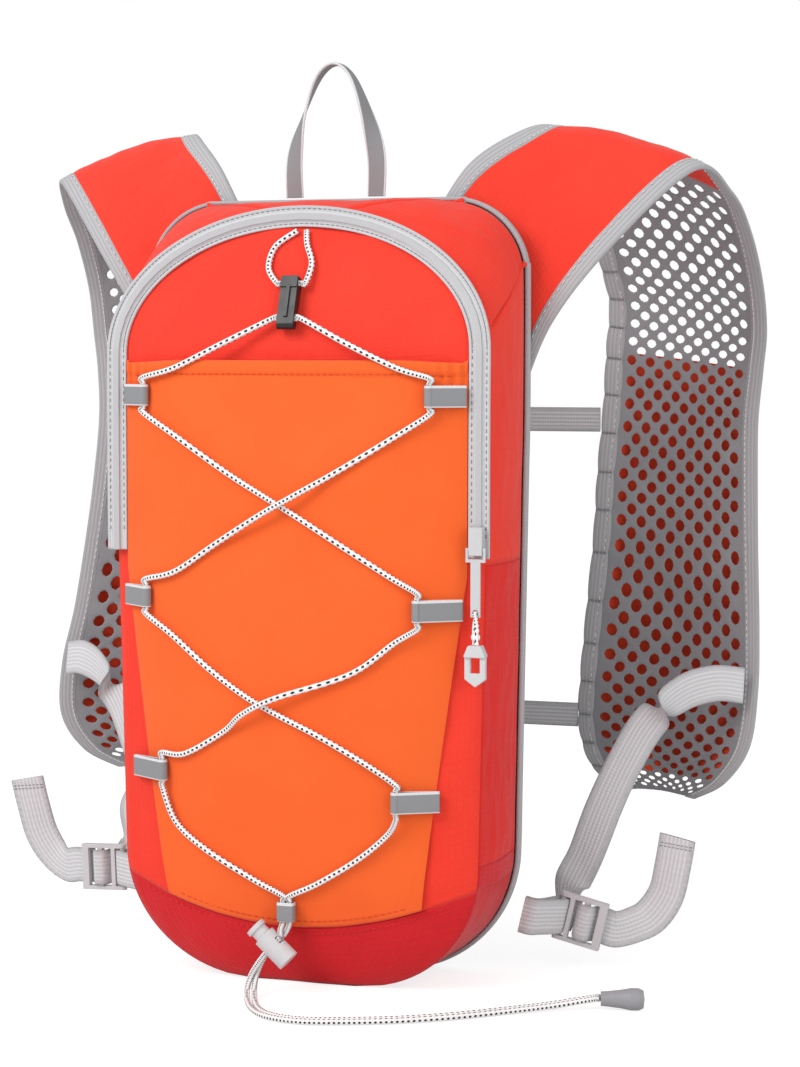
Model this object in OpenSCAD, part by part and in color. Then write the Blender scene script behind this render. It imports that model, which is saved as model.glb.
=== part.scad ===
// Hydration pack: a slim, laced running pack with a mesh vest harness.
// It stands on its base. +Z is up, the laced front faces -Y, and the wearer's back is at +Y.

/* [Pack body] */
// Height of the back panel
body_h = 408; // [380:1:440]
// Width of the pack at the shoulders
body_w = 210; // [195:1:230]
// Width of the pack above the bottom corners
base_w = 200; // [180:1:215]
// Depth of the gusset from the back seam to the zip
gusset_d = 55; // [45:1:75]
// How far the front wall stands out from the zip line
front_bulge = 20; // [12:1:30]
// Radius of the two bottom corners
corner_r = 68; // [50:1:75]
// Thickness of the wall cloth with its lining
wall_t = 2; // [1:0.1:3]
// Thickness of the foam back pad
pad_t = 6; // [3:0.5:10]
// Height of the seam that joins the upper gusset to the side panels
seam_z = 222; // [190:1:250]
// Width of the binding tape round the back seam
edge_tape_w = 6; // [4:0.5:10]

/* [Zip] */
// Width of the zip's cloth tape
tape_w = 11; // [8:0.5:14]
// Thickness of the zip's cloth tape
tape_t = 1.2; // [0.8:0.1:2]
// Width of the closed coil
coil_w = 3.2; // [2:0.1:5]
// Height of the closed coil
coil_t = 1.4; // [1:0.1:2]
// Height where the straight zip legs turn into the arch
arch_z = 330; // [300:1:345]
// How far the slider can run up its leg
zip_run = 92; // [60:1:96]

/* [Stretch pocket] */
// Height of the pocket's hemmed top edge
pocket_top = 325; // [270:1:340]
// Lowest point of the pocket
pocket_low = 34; // [25:1:45]
// Half the width of the pocket at its lowest point
pocket_foot = 68; // [55:1:72]
// Room between the pocket and the front wall
pocket_gap = 6; // [4.5:0.5:9]
// Thickness of the stretch cloth
pocket_t = 1.2; // [0.8:0.1:2]

/* [Lacing] */
// Diameter of the elastic cord
cord_d = 3; // [2.5:0.1:3.5]
// Height of the webbing loops that hold the cord
loop_h = 11; // [8:1:16]
// Length of the webbing loops
loop_len = 20; // [16:1:24]

/* [Cord lock] */
// Diameter of the barrel
barrel_d = 12; // [10:0.5:14]
// Length of the barrel
barrel_len = 18; // [15:1:22]
// Travel of the button
button_travel = 4; // [3:0.5:5]

/* [Harness] */
// Width of the folded edge binding
bind_w = 10; // [6:1:14]
// Thickness of the edge binding
bind_t = 4; // [3:0.5:5]
// Thickness of the air mesh
mesh_t = 3; // [2:0.5:4]
// Height of the top edge of the chest pockets
chest_pocket_top = 325; // [290:1:330]
// Room in the chest pockets
chest_pocket_gap = 9; // [8:0.5:14]

/* [Straps] */
// Width of the side webbing
side_web_w = 20; // [18:1:22]
// Thickness of all webbing
web_t = 1.6; // [1.2:0.1:2]
// Width of the sternum webbing
chest_web_w = 14; // [12:1:16]
// Height of the upper sternum strap
chest_web_top = 290; // [270:1:300]
// Height of the lower sternum strap
chest_web_low = 118; // [112:1:130]
// Width of the carry handle webbing
handle_w = 10; // [8:1:14]
// Height of the carry handle above the pack
handle_h = 70; // [50:1:90]
// Half the distance between the handle's two ends
handle_half = 23; // [18:1:32]

/* [Reservoir] */
// Width of the water reservoir
bladder_w = 150; // [120:1:165]
// Height of the water reservoir
bladder_h = 290; // [240:1:310]
// Thickness of the water reservoir
bladder_t = 20; // [12:1:22]
// Diameter of the reservoir's screw cap
cap_d = 44; // [36:1:50]

/* [Hidden] */
$fn = 32;

seat = 0.3;               // clearance between soft pieces that touch
back_y = 35;              // the seam between gusset and back pad
rim_y = back_y - gusset_d;
edge_tape_out = 2.2;      // how far the edge tape stands out from the seam
base_half = base_w / 2;
top_half = body_w / 2;
cord_r = cord_d / 2;

// ---------- shared mathematics ----------
function unit(v) = v / norm(v);
function lerp(a, b, t) = a + (b - a) * t;
function flip(list) = [for (i = [len(list) - 1:-1:0]) list[i]];
function smooth(t) = let (k = max(0, min(1, t))) k * k * (3 - 2 * k);

// Point at place t (0 to 1) of a smooth curve through the given points
function curve_at(pts, t) = let (
    n = len(pts) - 1,
    i = min(n - 1, floor(t * n)),
    f = t * n - i,
    p0 = pts[max(0, i - 1)],
    p1 = pts[i],
    p2 = pts[i + 1],
    p3 = pts[min(n, i + 2)]
) 0.5 * (2 * p1 + (p2 - p0) * f + (2 * p0 - 5 * p1 + 4 * p2 - p3) * f * f
    + (3 * p1 - p0 - 3 * p2 + p3) * f * f * f);
function curve(pts, count) = [for (k = [0:count]) curve_at(pts, k / count)];
function tangent(path, i) = unit(path[min(len(path) - 1, i + 1)] - path[max(0, i - 1)]);

// A closed solid through a row of outlines that all have the same number of points
module skin(sections, closed = false) {
    n = len(sections);
    m = len(sections[0]);
    sides = [for (i = [0:(closed ? n - 1 : n - 2)], j = [0:m - 1]) let (
        k = (i + 1) % n,
        a = i * m + j,
        b = i * m + (j + 1) % m,
        c = k * m + (j + 1) % m,
        d = k * m + j
    ) each [[a, b, c], [a, c, d]]];
    last = (n - 1) * m;
    caps = closed ? [] : [for (j = [0:m / 2 - 2]) let (e = m - 1 - j) each [
        [j, e, e - 1], [j, e - 1, j + 1],
        [last + j, last + e - 1, last + e], [last + j, last + j + 1, last + e - 1]
    ]];
    polyhedron(points = [for (s = sections) each s], faces = concat(sides, caps), convexity = 8);
}

// A round cord along a path; the ring turns with the path and never twists
function ring(path, i, r, sides) = let (
    t = tangent(path, i),
    side = unit(cross(t, abs(t[1]) > 0.9 ? [1, 0, 0] : [0, 1, 0])),
    up = cross(side, t)
) [for (k = [0:sides - 1]) path[i] + r * (cos(360 * k / sides) * side + sin(360 * k / sides) * up)];
module cord(path, r, sides = 8) {
    skin([for (i = [0:len(path) - 1]) ring(path, i, r, sides)]);
}

// Flat webbing along a path; wide[i] is the direction of its width at point i
module webbing(path, wide, w, t) {
    skin([for (i = [0:len(path) - 1]) let (
        along = tangent(path, i),
        across = unit(wide[i] - along * (wide[i] * along)),
        out = cross(along, across),
        p = path[i]
    ) [p - across * w / 2 + out * t / 2, p + across * w / 2 + out * t / 2,
       p + across * w / 2 - out * t / 2, p - across * w / 2 - out * t / 2]]);
}

// ---------- outline of the pack ----------
// Right half of an upright outline from the middle of the base to the middle of the top, as [x, z]
function half_outline(foot, head, top, round_z, round_x) = concat(
    [for (a = [0:10:90]) [foot - corner_r + corner_r * sin(a), corner_r * (1 - cos(a))]],
    [for (z = [100, 140, 180, seam_z, 265, 300]) [lerp(foot, head, (z - corner_r) / (300 - corner_r)), z]],
    [for (a = [0:10:90]) [head - round_x + round_x * cos(a), top - round_z + round_z * sin(a)]]
);
boot_rows = 10;           // rows of the outline in the rounded base
seam_row = 13;            // row of the seam at seam_z
back_rows = half_outline(base_half + 1, top_half, body_h, 40, 40);
rim_rows = half_outline(base_half - 3, top_half - 3, body_h - 6, body_h - 6 - arch_z, top_half - 9);
last_row = len(back_rows) - 1;

// The zip line leans back over the arch and tucks in under the base
function lean_y(z) = z > arch_z ? rim_y + 15 * pow((z - arch_z) / (body_h - 6 - arch_z), 1.4)
    : z < corner_r ? rim_y + 8 * pow(1 - z / corner_r, 2) : rim_y;
function bulge_at(z) = let (k = max(0, min(1, z / (body_h - 6))))
    front_bulge * pow(max(0, sin(180 * pow(k, 0.8))), 0.6);
function rim_half(z) = z > arch_z
    ? 6 + (top_half - 9) * sqrt(max(0, 1 - pow((z - arch_z) / (body_h - 6 - arch_z), 2)))
    : z < corner_r ? base_half - 3 - corner_r + corner_r * sqrt(max(0, 1 - pow(1 - z / corner_r, 2)))
    : lerp(base_half - 3, top_half - 3, min(1, (z - corner_r) / (300 - corner_r)));
// Outer face of the front wall at any x and z
function front_y(x, z) = let (u = min(1, abs(x) / rim_half(z)))
    lean_y(z) - wall_t - bulge_at(z) * (1 - pow(u, 2.6));

// One slice of the gusset: inner face front to back, then outer face back to front
function gusset_slice(i, side) = let (
    f = rim_rows[i],
    b = back_rows[i],
    fy = lean_y(f[1]),
    m = (f + b) / 2,
    swell = i < boot_rows - 1 ? 0 : 3,
    out = i > last_row - 10 ? [cos(10 * (i - last_row + 9)), sin(10 * (i - last_row + 9))]
        : i < boot_rows ? [sin(10 * i), -cos(10 * i)] : [1, 0],
    my = (fy + back_y) / 2,
    o = wall_t * out
) [[side * (f[0] - o[0]), fy, f[1] - o[1]],
   [side * (m[0] + swell * out[0] - o[0]), my, m[1] + swell * out[1] - o[1]],
   [side * (b[0] - o[0]), back_y, b[1] - o[1]], [side * b[0], back_y, b[1]],
   [side * (m[0] + swell * out[0]), my, m[1] + swell * out[1]], [side * f[0], fy, f[1]]];
function gusset_right(from, to) = [for (i = [from:to]) gusset_slice(i, 1)];
function gusset_left(from, to) = [for (i = [to:-1:from]) gusset_slice(i, -1)];

// One row of the front wall, outer face right to left, then inner face left to right
columns = [for (k = [-8:8]) sin(k * 90 / 8)];
function wall_row(x, z, off, t) = concat(
    [for (u = flip(columns)) [u * x, front_y(u * x, z) - off - t, z]],
    [for (u = columns) [u * x, front_y(u * x, z) - off, z]]
);

module back_panel() {
    color("darkgray") pad_plate(0, back_y + 0.02, pad_t);
}
// An upright plate with the outline of the back, grown by more all round
module pad_plate(more, y, t) {
    pts = [for (p = back_rows) [p[0] + more * (p[0] > 0 ? 1 : 0), p[1] + (p[1] > body_h / 2 ? more : 0)]];
    translate([0, y + t, 0]) rotate([90, 0, 0]) linear_extrude(t)
        polygon(concat(pts, [for (p = flip(pts)) [-p[0], p[1]]]));
}
module edge_tape() {
    color("darkgray") intersection() {
        difference() {
            pad_plate(edge_tape_out, back_y + pad_t / 2 - edge_tape_w / 2, edge_tape_w);
            pad_plate(0.2, back_y - 20, 40);
        }
        translate([-200, 0, 3]) cube([400, 100, 500]);
    }
}
module upper_gusset() {
    color("tomato") skin(concat(gusset_right(seam_row, last_row), gusset_left(seam_row, last_row)));
}
module side_panels() {
    color("crimson") {
        skin(gusset_right(boot_rows - 1, seam_row));
        skin(gusset_left(boot_rows - 1, seam_row));
    }
}
boot_front_row = 7;       // row of the outline where the front wall takes over from the boot
module boot_panel() {
    color("firebrick") {
        skin(concat(gusset_left(0, boot_rows - 1), gusset_right(0, boot_rows - 1)));
        skin([for (i = [0:boot_front_row])
            wall_row(rim_rows[i][0], rim_rows[i][1], -wall_t - 0.1, wall_t + 0.1)]);
    }
}
module front_panel() {
    color("red") skin([for (i = [boot_front_row:last_row])
        wall_row(rim_rows[i][0], rim_rows[i][1], -wall_t, wall_t)]);
}

// ---------- stretch pocket ----------
function pocket_half(z) = min(zip_mid - tape_w / 2 - seat, pocket_foot + 0.135 * (z - pocket_low));
function pocket_floor(u) = pocket_low + 12 * u * u;
// Room under the cloth: none at the stitched edges, most at the middle of the mouth
function pocket_room(u, k) = seat + pocket_gap * (1 - pow(abs(u), 4)) * smooth(k / 0.35);
function pocket_point(u, k, lift) = let (
    z = lerp(pocket_floor(u), pocket_top, k),
    x = u * pocket_half(z)
) [x, front_y(x, z) - pocket_room(u, k) - lift, z];
// Outer face of the pocket, or of the front wall above it
function outer_y(x, z) = z > pocket_top ? front_y(x, z) : let (
    u = max(-1, min(1, x / pocket_half(z))),
    k = (z - pocket_floor(u)) / (pocket_top - pocket_floor(u))
) k < 0 ? front_y(x, z) : front_y(x, z) - pocket_room(u, k) - pocket_t;

module stretch_pocket() {
    color("darkorange") skin([for (k = [0:0.05:1]) concat(
        [for (u = flip(columns)) pocket_point(u, k, pocket_t)],
        [for (u = columns) pocket_point(u, k, 0)]
    )]);
}

// ---------- zip ----------
leg_z = seam_z + 4;       // lower end of the coil
// The zip's centre line: up the right leg, over the arch and down the left leg, as [x, z, outward]
zip_mid = top_half - 3 - tape_w / 2 + 2;
coil_seat = 0.12;
zip_top = body_h - 6 - tape_w / 2 + 2;
zip_line = concat(
    [for (z = [leg_z:(arch_z - leg_z) / 4:arch_z - 1]) [zip_mid, z, 1, 0]],
    [for (a = [0:7.5:180]) [zip_mid * cos(a), arch_z + (zip_top - arch_z) * sin(a),
        cos(a), sin(a) * zip_mid / (zip_top - arch_z)]],
    [for (k = [4:-1:1]) [-zip_mid, leg_z + (arch_z - leg_z) * (k - 1) / 4, -1, 0]]
);
// Height of the tape's bed: it lies flat on the highest part of the wall below it
function zip_bed(p) = let (out = unit([p[2], p[3]])) min([for (k = [-1, 0, 1])
    front_y(p[0] + k * out[0] * tape_w / 2, p[1] + k * out[1] * tape_w / 2)]);
function zip_slice(p, w, t, lift) = let (
    out = unit([p[2], p[3]]) * w / 2,
    y = zip_bed(p) - lift
) [[p[0] + out[0], y - t, p[1] + out[1]], [p[0] - out[0], y - t, p[1] - out[1]],
   [p[0] - out[0], y, p[1] - out[1]], [p[0] + out[0], y, p[1] + out[1]]];
module zip_tape() {
    color("silver") skin([for (p = zip_line) zip_slice(p, tape_w, tape_t, seat)]);
}
module zip_coil() {
    color("gray") skin([for (p = zip_line) zip_slice(p, coil_w, coil_t, seat + tape_t + coil_seat)]);
}

// ---------- lacing ----------
// Inner ends of the six side loops as [x, middle height], then the loop at the base
loops = [[-79, 307], [76, 307], [-77, 203], [71, 200], [-68, 113], [60, 103]];
base_loop_z = 43;
loop_bore = cord_r + 0.3;
loop_r = loop_bore + 0.9;
function loop_y(p) = outer_y(p[0], p[1]) - loop_r - 0.9;

// A flat loop: a bore for the cord at its inner end and a doubled tail towards the side seam
module side_loop(p) {
    side = sign(p[0]);
    tail_x = side * min(abs(p[0]) + loop_len, zip_mid - tape_w / 2 - 0.5);
    tail_y = outer_y(tail_x, p[1]) - 2.2;
    inner_y = loop_y(p);
    reach = norm([tail_x - p[0], tail_y - inner_y]);
    turn = atan2(tail_y - inner_y, tail_x - p[0]);
    translate([p[0], inner_y, p[1] - loop_h / 2]) rotate([0, 0, turn]) difference() {
        union() {
            cylinder(r = loop_r, h = loop_h);
            translate([0, -1, 0]) cube([reach, 2, loop_h]);
        }
        translate([0, 0, -1]) cylinder(r = loop_bore, h = loop_h + 2);
    }
}
module lacing_loops() {
    color("gray") for (p = loops) side_loop(p);
}
// The loop at the base lies across, so that both cords run down through it side by side
base_y = outer_y(0, base_loop_z + 5) - loop_r - 0.4;
module bottom_loop() {
    half = cord_d + 1.6;
    color("gray") translate([0, base_y, base_loop_z]) difference() {
        union() {
            translate([-half, -loop_r, -5]) cube([2 * half, 2 * loop_r, 10]);
            translate([-half, loop_bore, -9]) cube([2 * half, 0.9, 5]);
        }
        translate([-cord_d - 0.5, -loop_bore, -6]) cube([2 * cord_d + 1, 2 * loop_bore, 12]);
    }
}
// The cord stands clear of the step at the pocket's mouth
function cloth_y(x, z) = z > pocket_top && z < pocket_top + 26
    ? lerp(outer_y(x, pocket_top), front_y(x, z), (z - pocket_top) / 26) : outer_y(x, z);
// A place on the front for the cord's centre; lift keeps crossing cords apart
function on_cloth(x, z, lift) = [x, cloth_y(x, z) - cord_r - lift, z];
// The cord runs straight down through the bore of a loop
function loop_pass(p) = [for (dz = [9, 5.6, -5.6, -9]) [p[0], loop_y(p), p[1] + dz]];

// ---------- hook and cord lock ----------
hook_z = 346;             // bore that carries the lacing
hook_len = 25;
hook_w = 9;
hook_t = 5.4;
hook_y = front_y(0, hook_z) - 5.5;
hook_top_y = front_y(0, hook_z + hook_len) - 4.4;
hook_lean = atan2(hook_top_y - hook_y, hook_len);
hook_eye = hook_len - 6;  // second bore, measured up from the first
function in_hook(x, up) = [x, hook_y + up * sin(hook_lean), hook_z + up * cos(hook_lean)];

lock_at = [-5, -45, 26];
lock_tilt = 42;           // the barrel's button end points up to the left by this
lock_axis = [-cos(lock_tilt), 0, sin(lock_tilt)];
lock_down = [-sin(lock_tilt), 0, -cos(lock_tilt)];
cord_pair = cord_r + 0.3; // half the distance between two cords side by side
lock_in = lock_at - lock_down * (barrel_d / 2 + 0.7);
lock_out = lock_at + lock_down * (barrel_d / 2 + 2);

// Route of one cord over the front, from the hook to the cord lock
function lacing_points(side) = [
    [0, hook_y, hook_z], [side * 5, hook_y, hook_z], [side * 8, hook_y, hook_z - 0.2], on_cloth(side * 34, 333, 1), on_cloth(side * 60, 321, 1.2),
    each loop_pass(side > 0 ? loops[1] : loops[0]),
    on_cloth(side * 58, 286, 1), on_cloth(side * 30, 269, 0.8), on_cloth(side * 9, 257, side > 0 ? 4.4 : 0.6),
    on_cloth(-side * 9, 247, side > 0 ? 4.4 : 0.6), on_cloth(-side * 34, 232, 0.8), on_cloth(-side * 58, 217, 1),
    each loop_pass(side > 0 ? loops[2] : loops[3]),
    on_cloth(-side * 60, 184, 1), on_cloth(-side * 38, 168, 0.8), on_cloth(-side * 9 - 9, 155, side > 0 ? 0.6 : 4.4),
    on_cloth(side * 9 - 9, 146, side > 0 ? 0.6 : 4.4), on_cloth(side * 26 - 4, 136, 0.8),
    on_cloth(side * 49 - 4, 123, 1),
    each loop_pass(side > 0 ? loops[5] : loops[4]),
    on_cloth(side * 58 - 3, 86, 1), on_cloth(side * 42 - 2, 73, 0.8), on_cloth(side * 18, 59, 0.8),
    [side * cord_pair, base_y, base_loop_z + 8], [side * cord_pair, base_y, base_loop_z + 5.2],
    [side * cord_pair, base_y, base_loop_z - 5.2],
    lerp([0, base_y, base_loop_z - 5.2], lock_in, 0.55) + side * cord_pair * [0.75, 0.75, 0],
    lock_in + [0, side * cord_pair, 0]
];
module lacing_a() {
    color("white") cord(curve(lacing_points(1), 102), cord_r);
}
module lacing_b() {
    color("white") cord(curve(lacing_points(-1), 102), cord_r);
}
module hook_cord() {
    top = 391;
    pts = [on_cloth(3.5, top, 0.5), on_cloth(5, 384, 0.7), on_cloth(9, 374, 0.9), in_hook(7.6, hook_eye + 0.2),
        in_hook(4.8, hook_eye), in_hook(-4.8, hook_eye), in_hook(-7.6, hook_eye + 0.2), on_cloth(-14, 372, 1.2),
        on_cloth(-12, 383, 0.7), on_cloth(-1.5, top, 0.5)];
    color("white") cord(curve(pts, 36), cord_r);
}
// A flat hook with a bore for each cord, wider at its upper end
module cord_hook() {
    color("black") translate([0, hook_y, hook_z]) rotate([-hook_lean, 0, 0]) difference() {
        union() {
            translate([-hook_w / 2, -hook_t / 2, -3]) cube([hook_w, hook_t, hook_len - 2]);
            translate([-hook_w / 2, 0, -3]) rotate([0, 90, 0]) cylinder(d = hook_t, h = hook_w);
            translate([-hook_w / 2, -hook_t / 2 - 0.8, hook_len - 9]) cube([hook_w, hook_t + 1.2, 6]);
            translate([-1, -hook_t / 2 - 1, 0]) cube([2, 2, hook_len - 8]);
        }
        for (up = [0, hook_eye])
            translate([-10, 0, up]) rotate([0, 90, 0]) cylinder(r = loop_bore, h = 20);
    }
}

// The lock's parts are drawn upright with the button on top, then laid in place
module at_lock() {
    translate(lock_at) rotate([0, -(90 - lock_tilt), 0]) children();
}
slot_w = 2 * cord_pair + cord_d + 0.6;
button_r = barrel_d / 2 - 1.6;
module cord_slot(h) {
    translate([-20, -slot_w / 2, -h / 2]) cube([40, slot_w, h]);
}
module lock_barrel() {
    color("lightgray") at_lock() difference() {
        translate([0, 0, -barrel_len / 2 - 2]) cylinder(d = barrel_d, h = barrel_len);
        translate([0, 0, -barrel_len / 2]) cylinder(r = button_r + 0.2, h = barrel_len + 10);
        cord_slot(cord_d + 0.8);
    }
}
module lock_button() {
    stem_low = -cord_d / 2 - 1.4;
    color("lightgray") at_lock() difference() {
        union() {
            translate([0, 0, stem_low]) cylinder(r = button_r, h = barrel_len / 2 - 2 + button_travel + 0.6 - stem_low);
            translate([0, 0, barrel_len / 2 - 2 + button_travel + 0.6]) cylinder(r = button_r + 1, h = 2.4);
        }
        translate([-20, -slot_w / 2, -cord_d / 2 - 0.4]) cube([40, slot_w, cord_d + 0.8 + button_travel]);
    }
}
module lock_spring() {
    stem_low = -cord_d / 2 - 1.4;
    color("silver") at_lock() translate([0, 0, -barrel_len / 2]) difference() {
        cylinder(r = button_r - 0.6, h = barrel_len / 2 + stem_low);
        translate([0, 0, -1]) cylinder(r = button_r - 1.6, h = barrel_len);
    }
}

// Route of the two free ends, lying side by side from the lock to the bell on the floor
floor_z = cord_r + 0.4;
bell_r = 5.5;
bell_len = 22;
bell_at = [160, -20, bell_r + 0.1];
bell_turn = 14;
bell_way = [cos(bell_turn), sin(bell_turn), 0];
tail_route = [
    lock_in + 0.9 * lock_down, lock_at, lock_out, [-15, -47, 11], [-13, -57, 4.5], [-5, -74, floor_z], [8, -88, floor_z], [26, -92, floor_z],
    [48, -86, floor_z], [72, -76, floor_z], [96, -61, floor_z], [118, -43, floor_z], [138, -30, 3],
    bell_at - bell_way * 3, bell_at
];
tail_side = [
    [0, 1, 0], [0, 1, 0], [0, 1, 0], [0.5, 0.85, 0], [0.9, 0.4, 0], [1, 0.25, 0], [0.7, 0.8, 0], [0.1, 1, 0],
    [-0.3, 1, 0], [-0.4, 0.9, 0], [-0.6, 0.8, 0], [-0.5, 0.9, 0], [-0.4, 0.9, 0], [-0.2, 1, 0], [-0.2, 1, 0]
];
function tail_path(side) = curve([for (i = [0:len(tail_route) - 1])
    tail_route[i] + side * cord_pair * unit(tail_side[i])], 38);
module tail_cord_a() {
    color("white") cord(tail_path(1), cord_r);
}
module tail_cord_b() {
    color("white") cord(tail_path(-1), cord_r);
}
module cord_bell() {
    color("gray") translate(bell_at + 0.7 * bell_way) rotate([0, 90, bell_turn]) rotate_extrude() polygon([
        [0, 0], [3.6, 0], [3.9, 4], [4.6, 10], [bell_r, 15], [bell_r, 19], [4.4, bell_len - 0.6], [0, bell_len]
    ]);
}

// ---------- harness ----------
// Right-hand strap as matching points on its neck edge and its arm edge, from the pack's top seam
// over the shoulder and down to the foot of the chest panel
neck_edge = [
    [54, 43.6, 402], [70, 51, 428], [88, 70, 444], [101, 92, 450], [107, 120, 438], [110, 147, 411],
    [112, 170, 382], [115, 184, 357], [113, 186, 330], [111, 187, 296], [108, 187, 260], [106, 187, 224],
    [102, 187, 180], [99, 186, 142], [99, 183, 112], [108, 177, 90], [126, 168, 79]
];
arm_edge = [
    [101, 43.6, 304], [117, 46, 344], [146, 58, 384], [184, 88, 425], [198, 120, 414], [203, 148, 395],
    [206, 170, 368], [207, 179, 341], [205, 180, 318], [203, 177, 290], [204, 171, 255], [206, 163, 218],
    [209, 152, 175], [211, 138, 142], [208, 130, 112], [194, 132, 91], [176, 141, 80]
];
yoke_end = 4;             // station of the seam between yoke and mesh
strap_end = len(neck_edge) - 1;
function strap_width(i) = norm(arm_edge[i] - neck_edge[i]);
// Outward face direction of the strap, away from the wearer
function strap_out(i) = let (
    along = unit(neck_edge[min(strap_end, i + 1)] + arm_edge[min(strap_end, i + 1)]
        - neck_edge[max(0, i - 1)] - arm_edge[max(0, i - 1)])
) unit(cross(arm_edge[i] - neck_edge[i], along));
// A place on the strap: d across from the neck edge, off from its middle face
function on_strap(i, d, off) = let (
    f = d / strap_width(i),
    bow = 7 * sin(180 * max(0, min(1, f))) * smooth((i - 1) / 3)
) lerp(neck_edge[i], arm_edge[i], f) + strap_out(i) * (off + bow);
function strap_slice(i, from, to, low, high, steps) = concat(
    [for (k = [0:steps]) on_strap(i, lerp(from, to, k / steps), low)],
    [for (k = [steps:-1:0]) on_strap(i, lerp(from, to, k / steps), high)]
);
module both_sides(side) {
    if (side > 0) children();
    else mirror([1, 0, 0]) children();
}
module strap_piece(side, first, last, from_neck, from_arm, t) {
    both_sides(side) skin([for (i = [first:last])
        strap_slice(i, from_neck + seat, strap_width(i) - from_arm - seat, -t / 2, t / 2, 6)]);
}
module neck_binding(side) {
    both_sides(side) skin([for (i = [0:strap_end]) strap_slice(i, 0, bind_w, -bind_t / 2, bind_t / 2, 1)]);
}
module arm_binding(side) {
    both_sides(side) skin([for (i = [0:strap_end])
        strap_slice(i, strap_width(i) - bind_w, strap_width(i), -bind_t / 2, bind_t / 2, 1)]);
}
module yoke_right() {
    color("tomato") strap_piece(1, 0, yoke_end, bind_w, bind_w, mesh_t);
}
module yoke_left() {
    color("tomato") strap_piece(-1, 0, yoke_end, bind_w, bind_w, mesh_t);
}
module chest_mesh_right() {
    color("dimgray") strap_piece(1, yoke_end, strap_end, bind_w, bind_w, mesh_t);
}
module chest_mesh_left() {
    color("dimgray") strap_piece(-1, yoke_end, strap_end, bind_w, bind_w, mesh_t);
}
module neck_binding_right() {
    color("silver") neck_binding(1);
}
module neck_binding_left() {
    color("silver") neck_binding(-1);
}
module arm_binding_right() {
    color("silver") arm_binding(1);
}
module arm_binding_left() {
    color("silver") arm_binding(-1);
}

// Patch pocket on the outer face of the chest panel, sewn at its sides and foot and open on top
pocket_first = 8;
pocket_last = 15;
chest_cloth_t = 1.4;
function chest_room(u, i) = seat
    + chest_pocket_gap * (1 - pow(abs(u), 4)) * smooth((pocket_last - i) / 2.5);
function chest_pocket_slice(i) = let (
    w = strap_width(i),
    us = [for (k = [-5:5]) sin(18 * k)],
    top = mesh_t / 2
) concat(
    [for (u = us) on_strap(i, w / 2 + u * (w / 2 - bind_w - seat), top + chest_room(u, i))],
    [for (u = flip(us)) on_strap(i, w / 2 + u * (w / 2 - bind_w - seat), top + chest_room(u, i) + chest_cloth_t)]
);
module chest_pocket(side) {
    both_sides(side) skin([for (i = [pocket_first:pocket_last]) chest_pocket_slice(i)]);
}
module chest_pocket_right() {
    color("orangered") chest_pocket(1);
}
module chest_pocket_left() {
    color("orangered") chest_pocket(-1);
}

// ---------- carry handle ----------
module carry_handle() {
    seam_y = back_y + pad_t / 2;
    foot = body_h + edge_tape_out + 0.95;
    pts = [[-handle_half, seam_y, foot], [-handle_half, seam_y, foot + 0.3 * handle_h],
        [-handle_half + 5, seam_y, foot + 0.6 * handle_h], [-handle_half / 2.4, seam_y, foot + 0.9 * handle_h],
        [0, seam_y, foot + handle_h], [handle_half / 2.4, seam_y, foot + 0.9 * handle_h],
        [handle_half - 5, seam_y, foot + 0.6 * handle_h], [handle_half, seam_y, foot + 0.3 * handle_h],
        [handle_half, seam_y, foot]];
    path = curve(pts, 32);
    color("silver") webbing(path, [for (p = path) let (k = smooth((p[2] - foot) / handle_h))
        [sign(p[0] + 0.001) * (1 - k), k, 0]], handle_w, web_t);
}

// ---------- sternum straps ----------
// Where the neck edge lies at a height, as [x, y]
function neck_at(z) = [for (j = [0, 1]) lookup(z, [for (p = flip([for (i = [8:14]) neck_edge[i]])) [p[2], p[j]]])];
buckle_w = chest_web_w + 6;
buckle_t = 7;
socket_len = 26;
plug_len = 20;
prong_len = 15;
plug_gap = 0.3;
plug_travel = 15.5;       // slide that takes the prongs out of the socket
web_hole = 0.4;           // clearance of webbing in a slot
module at_chest(z) {
    translate([0, neck_at(z)[1], z]) children();
}
module box(from, to) {
    translate(from) cube(to - from);
}
module socket_web(z) {
    at_chest(z) box([socket_len - 2 + plug_gap, -web_t / 2, -chest_web_w / 2],
        [neck_at(z)[0] - 1.1, web_t / 2, chest_web_w / 2]);
}
module chest_web(z) {
    at_chest(z) box([-neck_at(z)[0] + 1.1, -web_t / 2, -chest_web_w / 2],
        [-4.5 - plug_travel - web_hole, web_t / 2, chest_web_w / 2]);
}
module socket(z) {
    at_chest(z) difference() {
        box([-2, -buckle_t / 2, -buckle_w / 2], [socket_len - 2, buckle_t / 2, buckle_w / 2]);
        box([-3, -2, -buckle_w / 2 + 2], [prong_len + 2.5, 2, buckle_w / 2 - 2]);
        for (s = [-1, 1]) box([4, -2, s * buckle_w / 2 - 2.5], [13, 2, s * buckle_w / 2 + 2.5]);
    }
}
module plug(z) {
    at_chest(z) difference() {
        union() {
            box([-2 - plug_gap - plug_len, -buckle_t / 2, -buckle_w / 2],
                [-2 - plug_gap, buckle_t / 2, buckle_w / 2]);
            for (s = [-1, 0, 1]) box([-3, -1.6, s * (buckle_w / 2 - 4) - 1.5],
                [prong_len - 2 - 4 * (1 - abs(s)), 1.6, s * (buckle_w / 2 - 4) + 1.5]);
        }
        box([-30, -web_t / 2 - web_hole, -chest_web_w / 2 - web_hole], [-4.5, web_t / 2 + web_hole,
            chest_web_w / 2 + web_hole]);
    }
}
module chest_web_upper() {
    color("gray") chest_web(chest_web_top);
}
module chest_web_lower() {
    color("gray") chest_web(chest_web_low);
}
module socket_web_upper() {
    color("gray") socket_web(chest_web_top);
}
module socket_web_lower() {
    color("gray") socket_web(chest_web_low);
}
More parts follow.
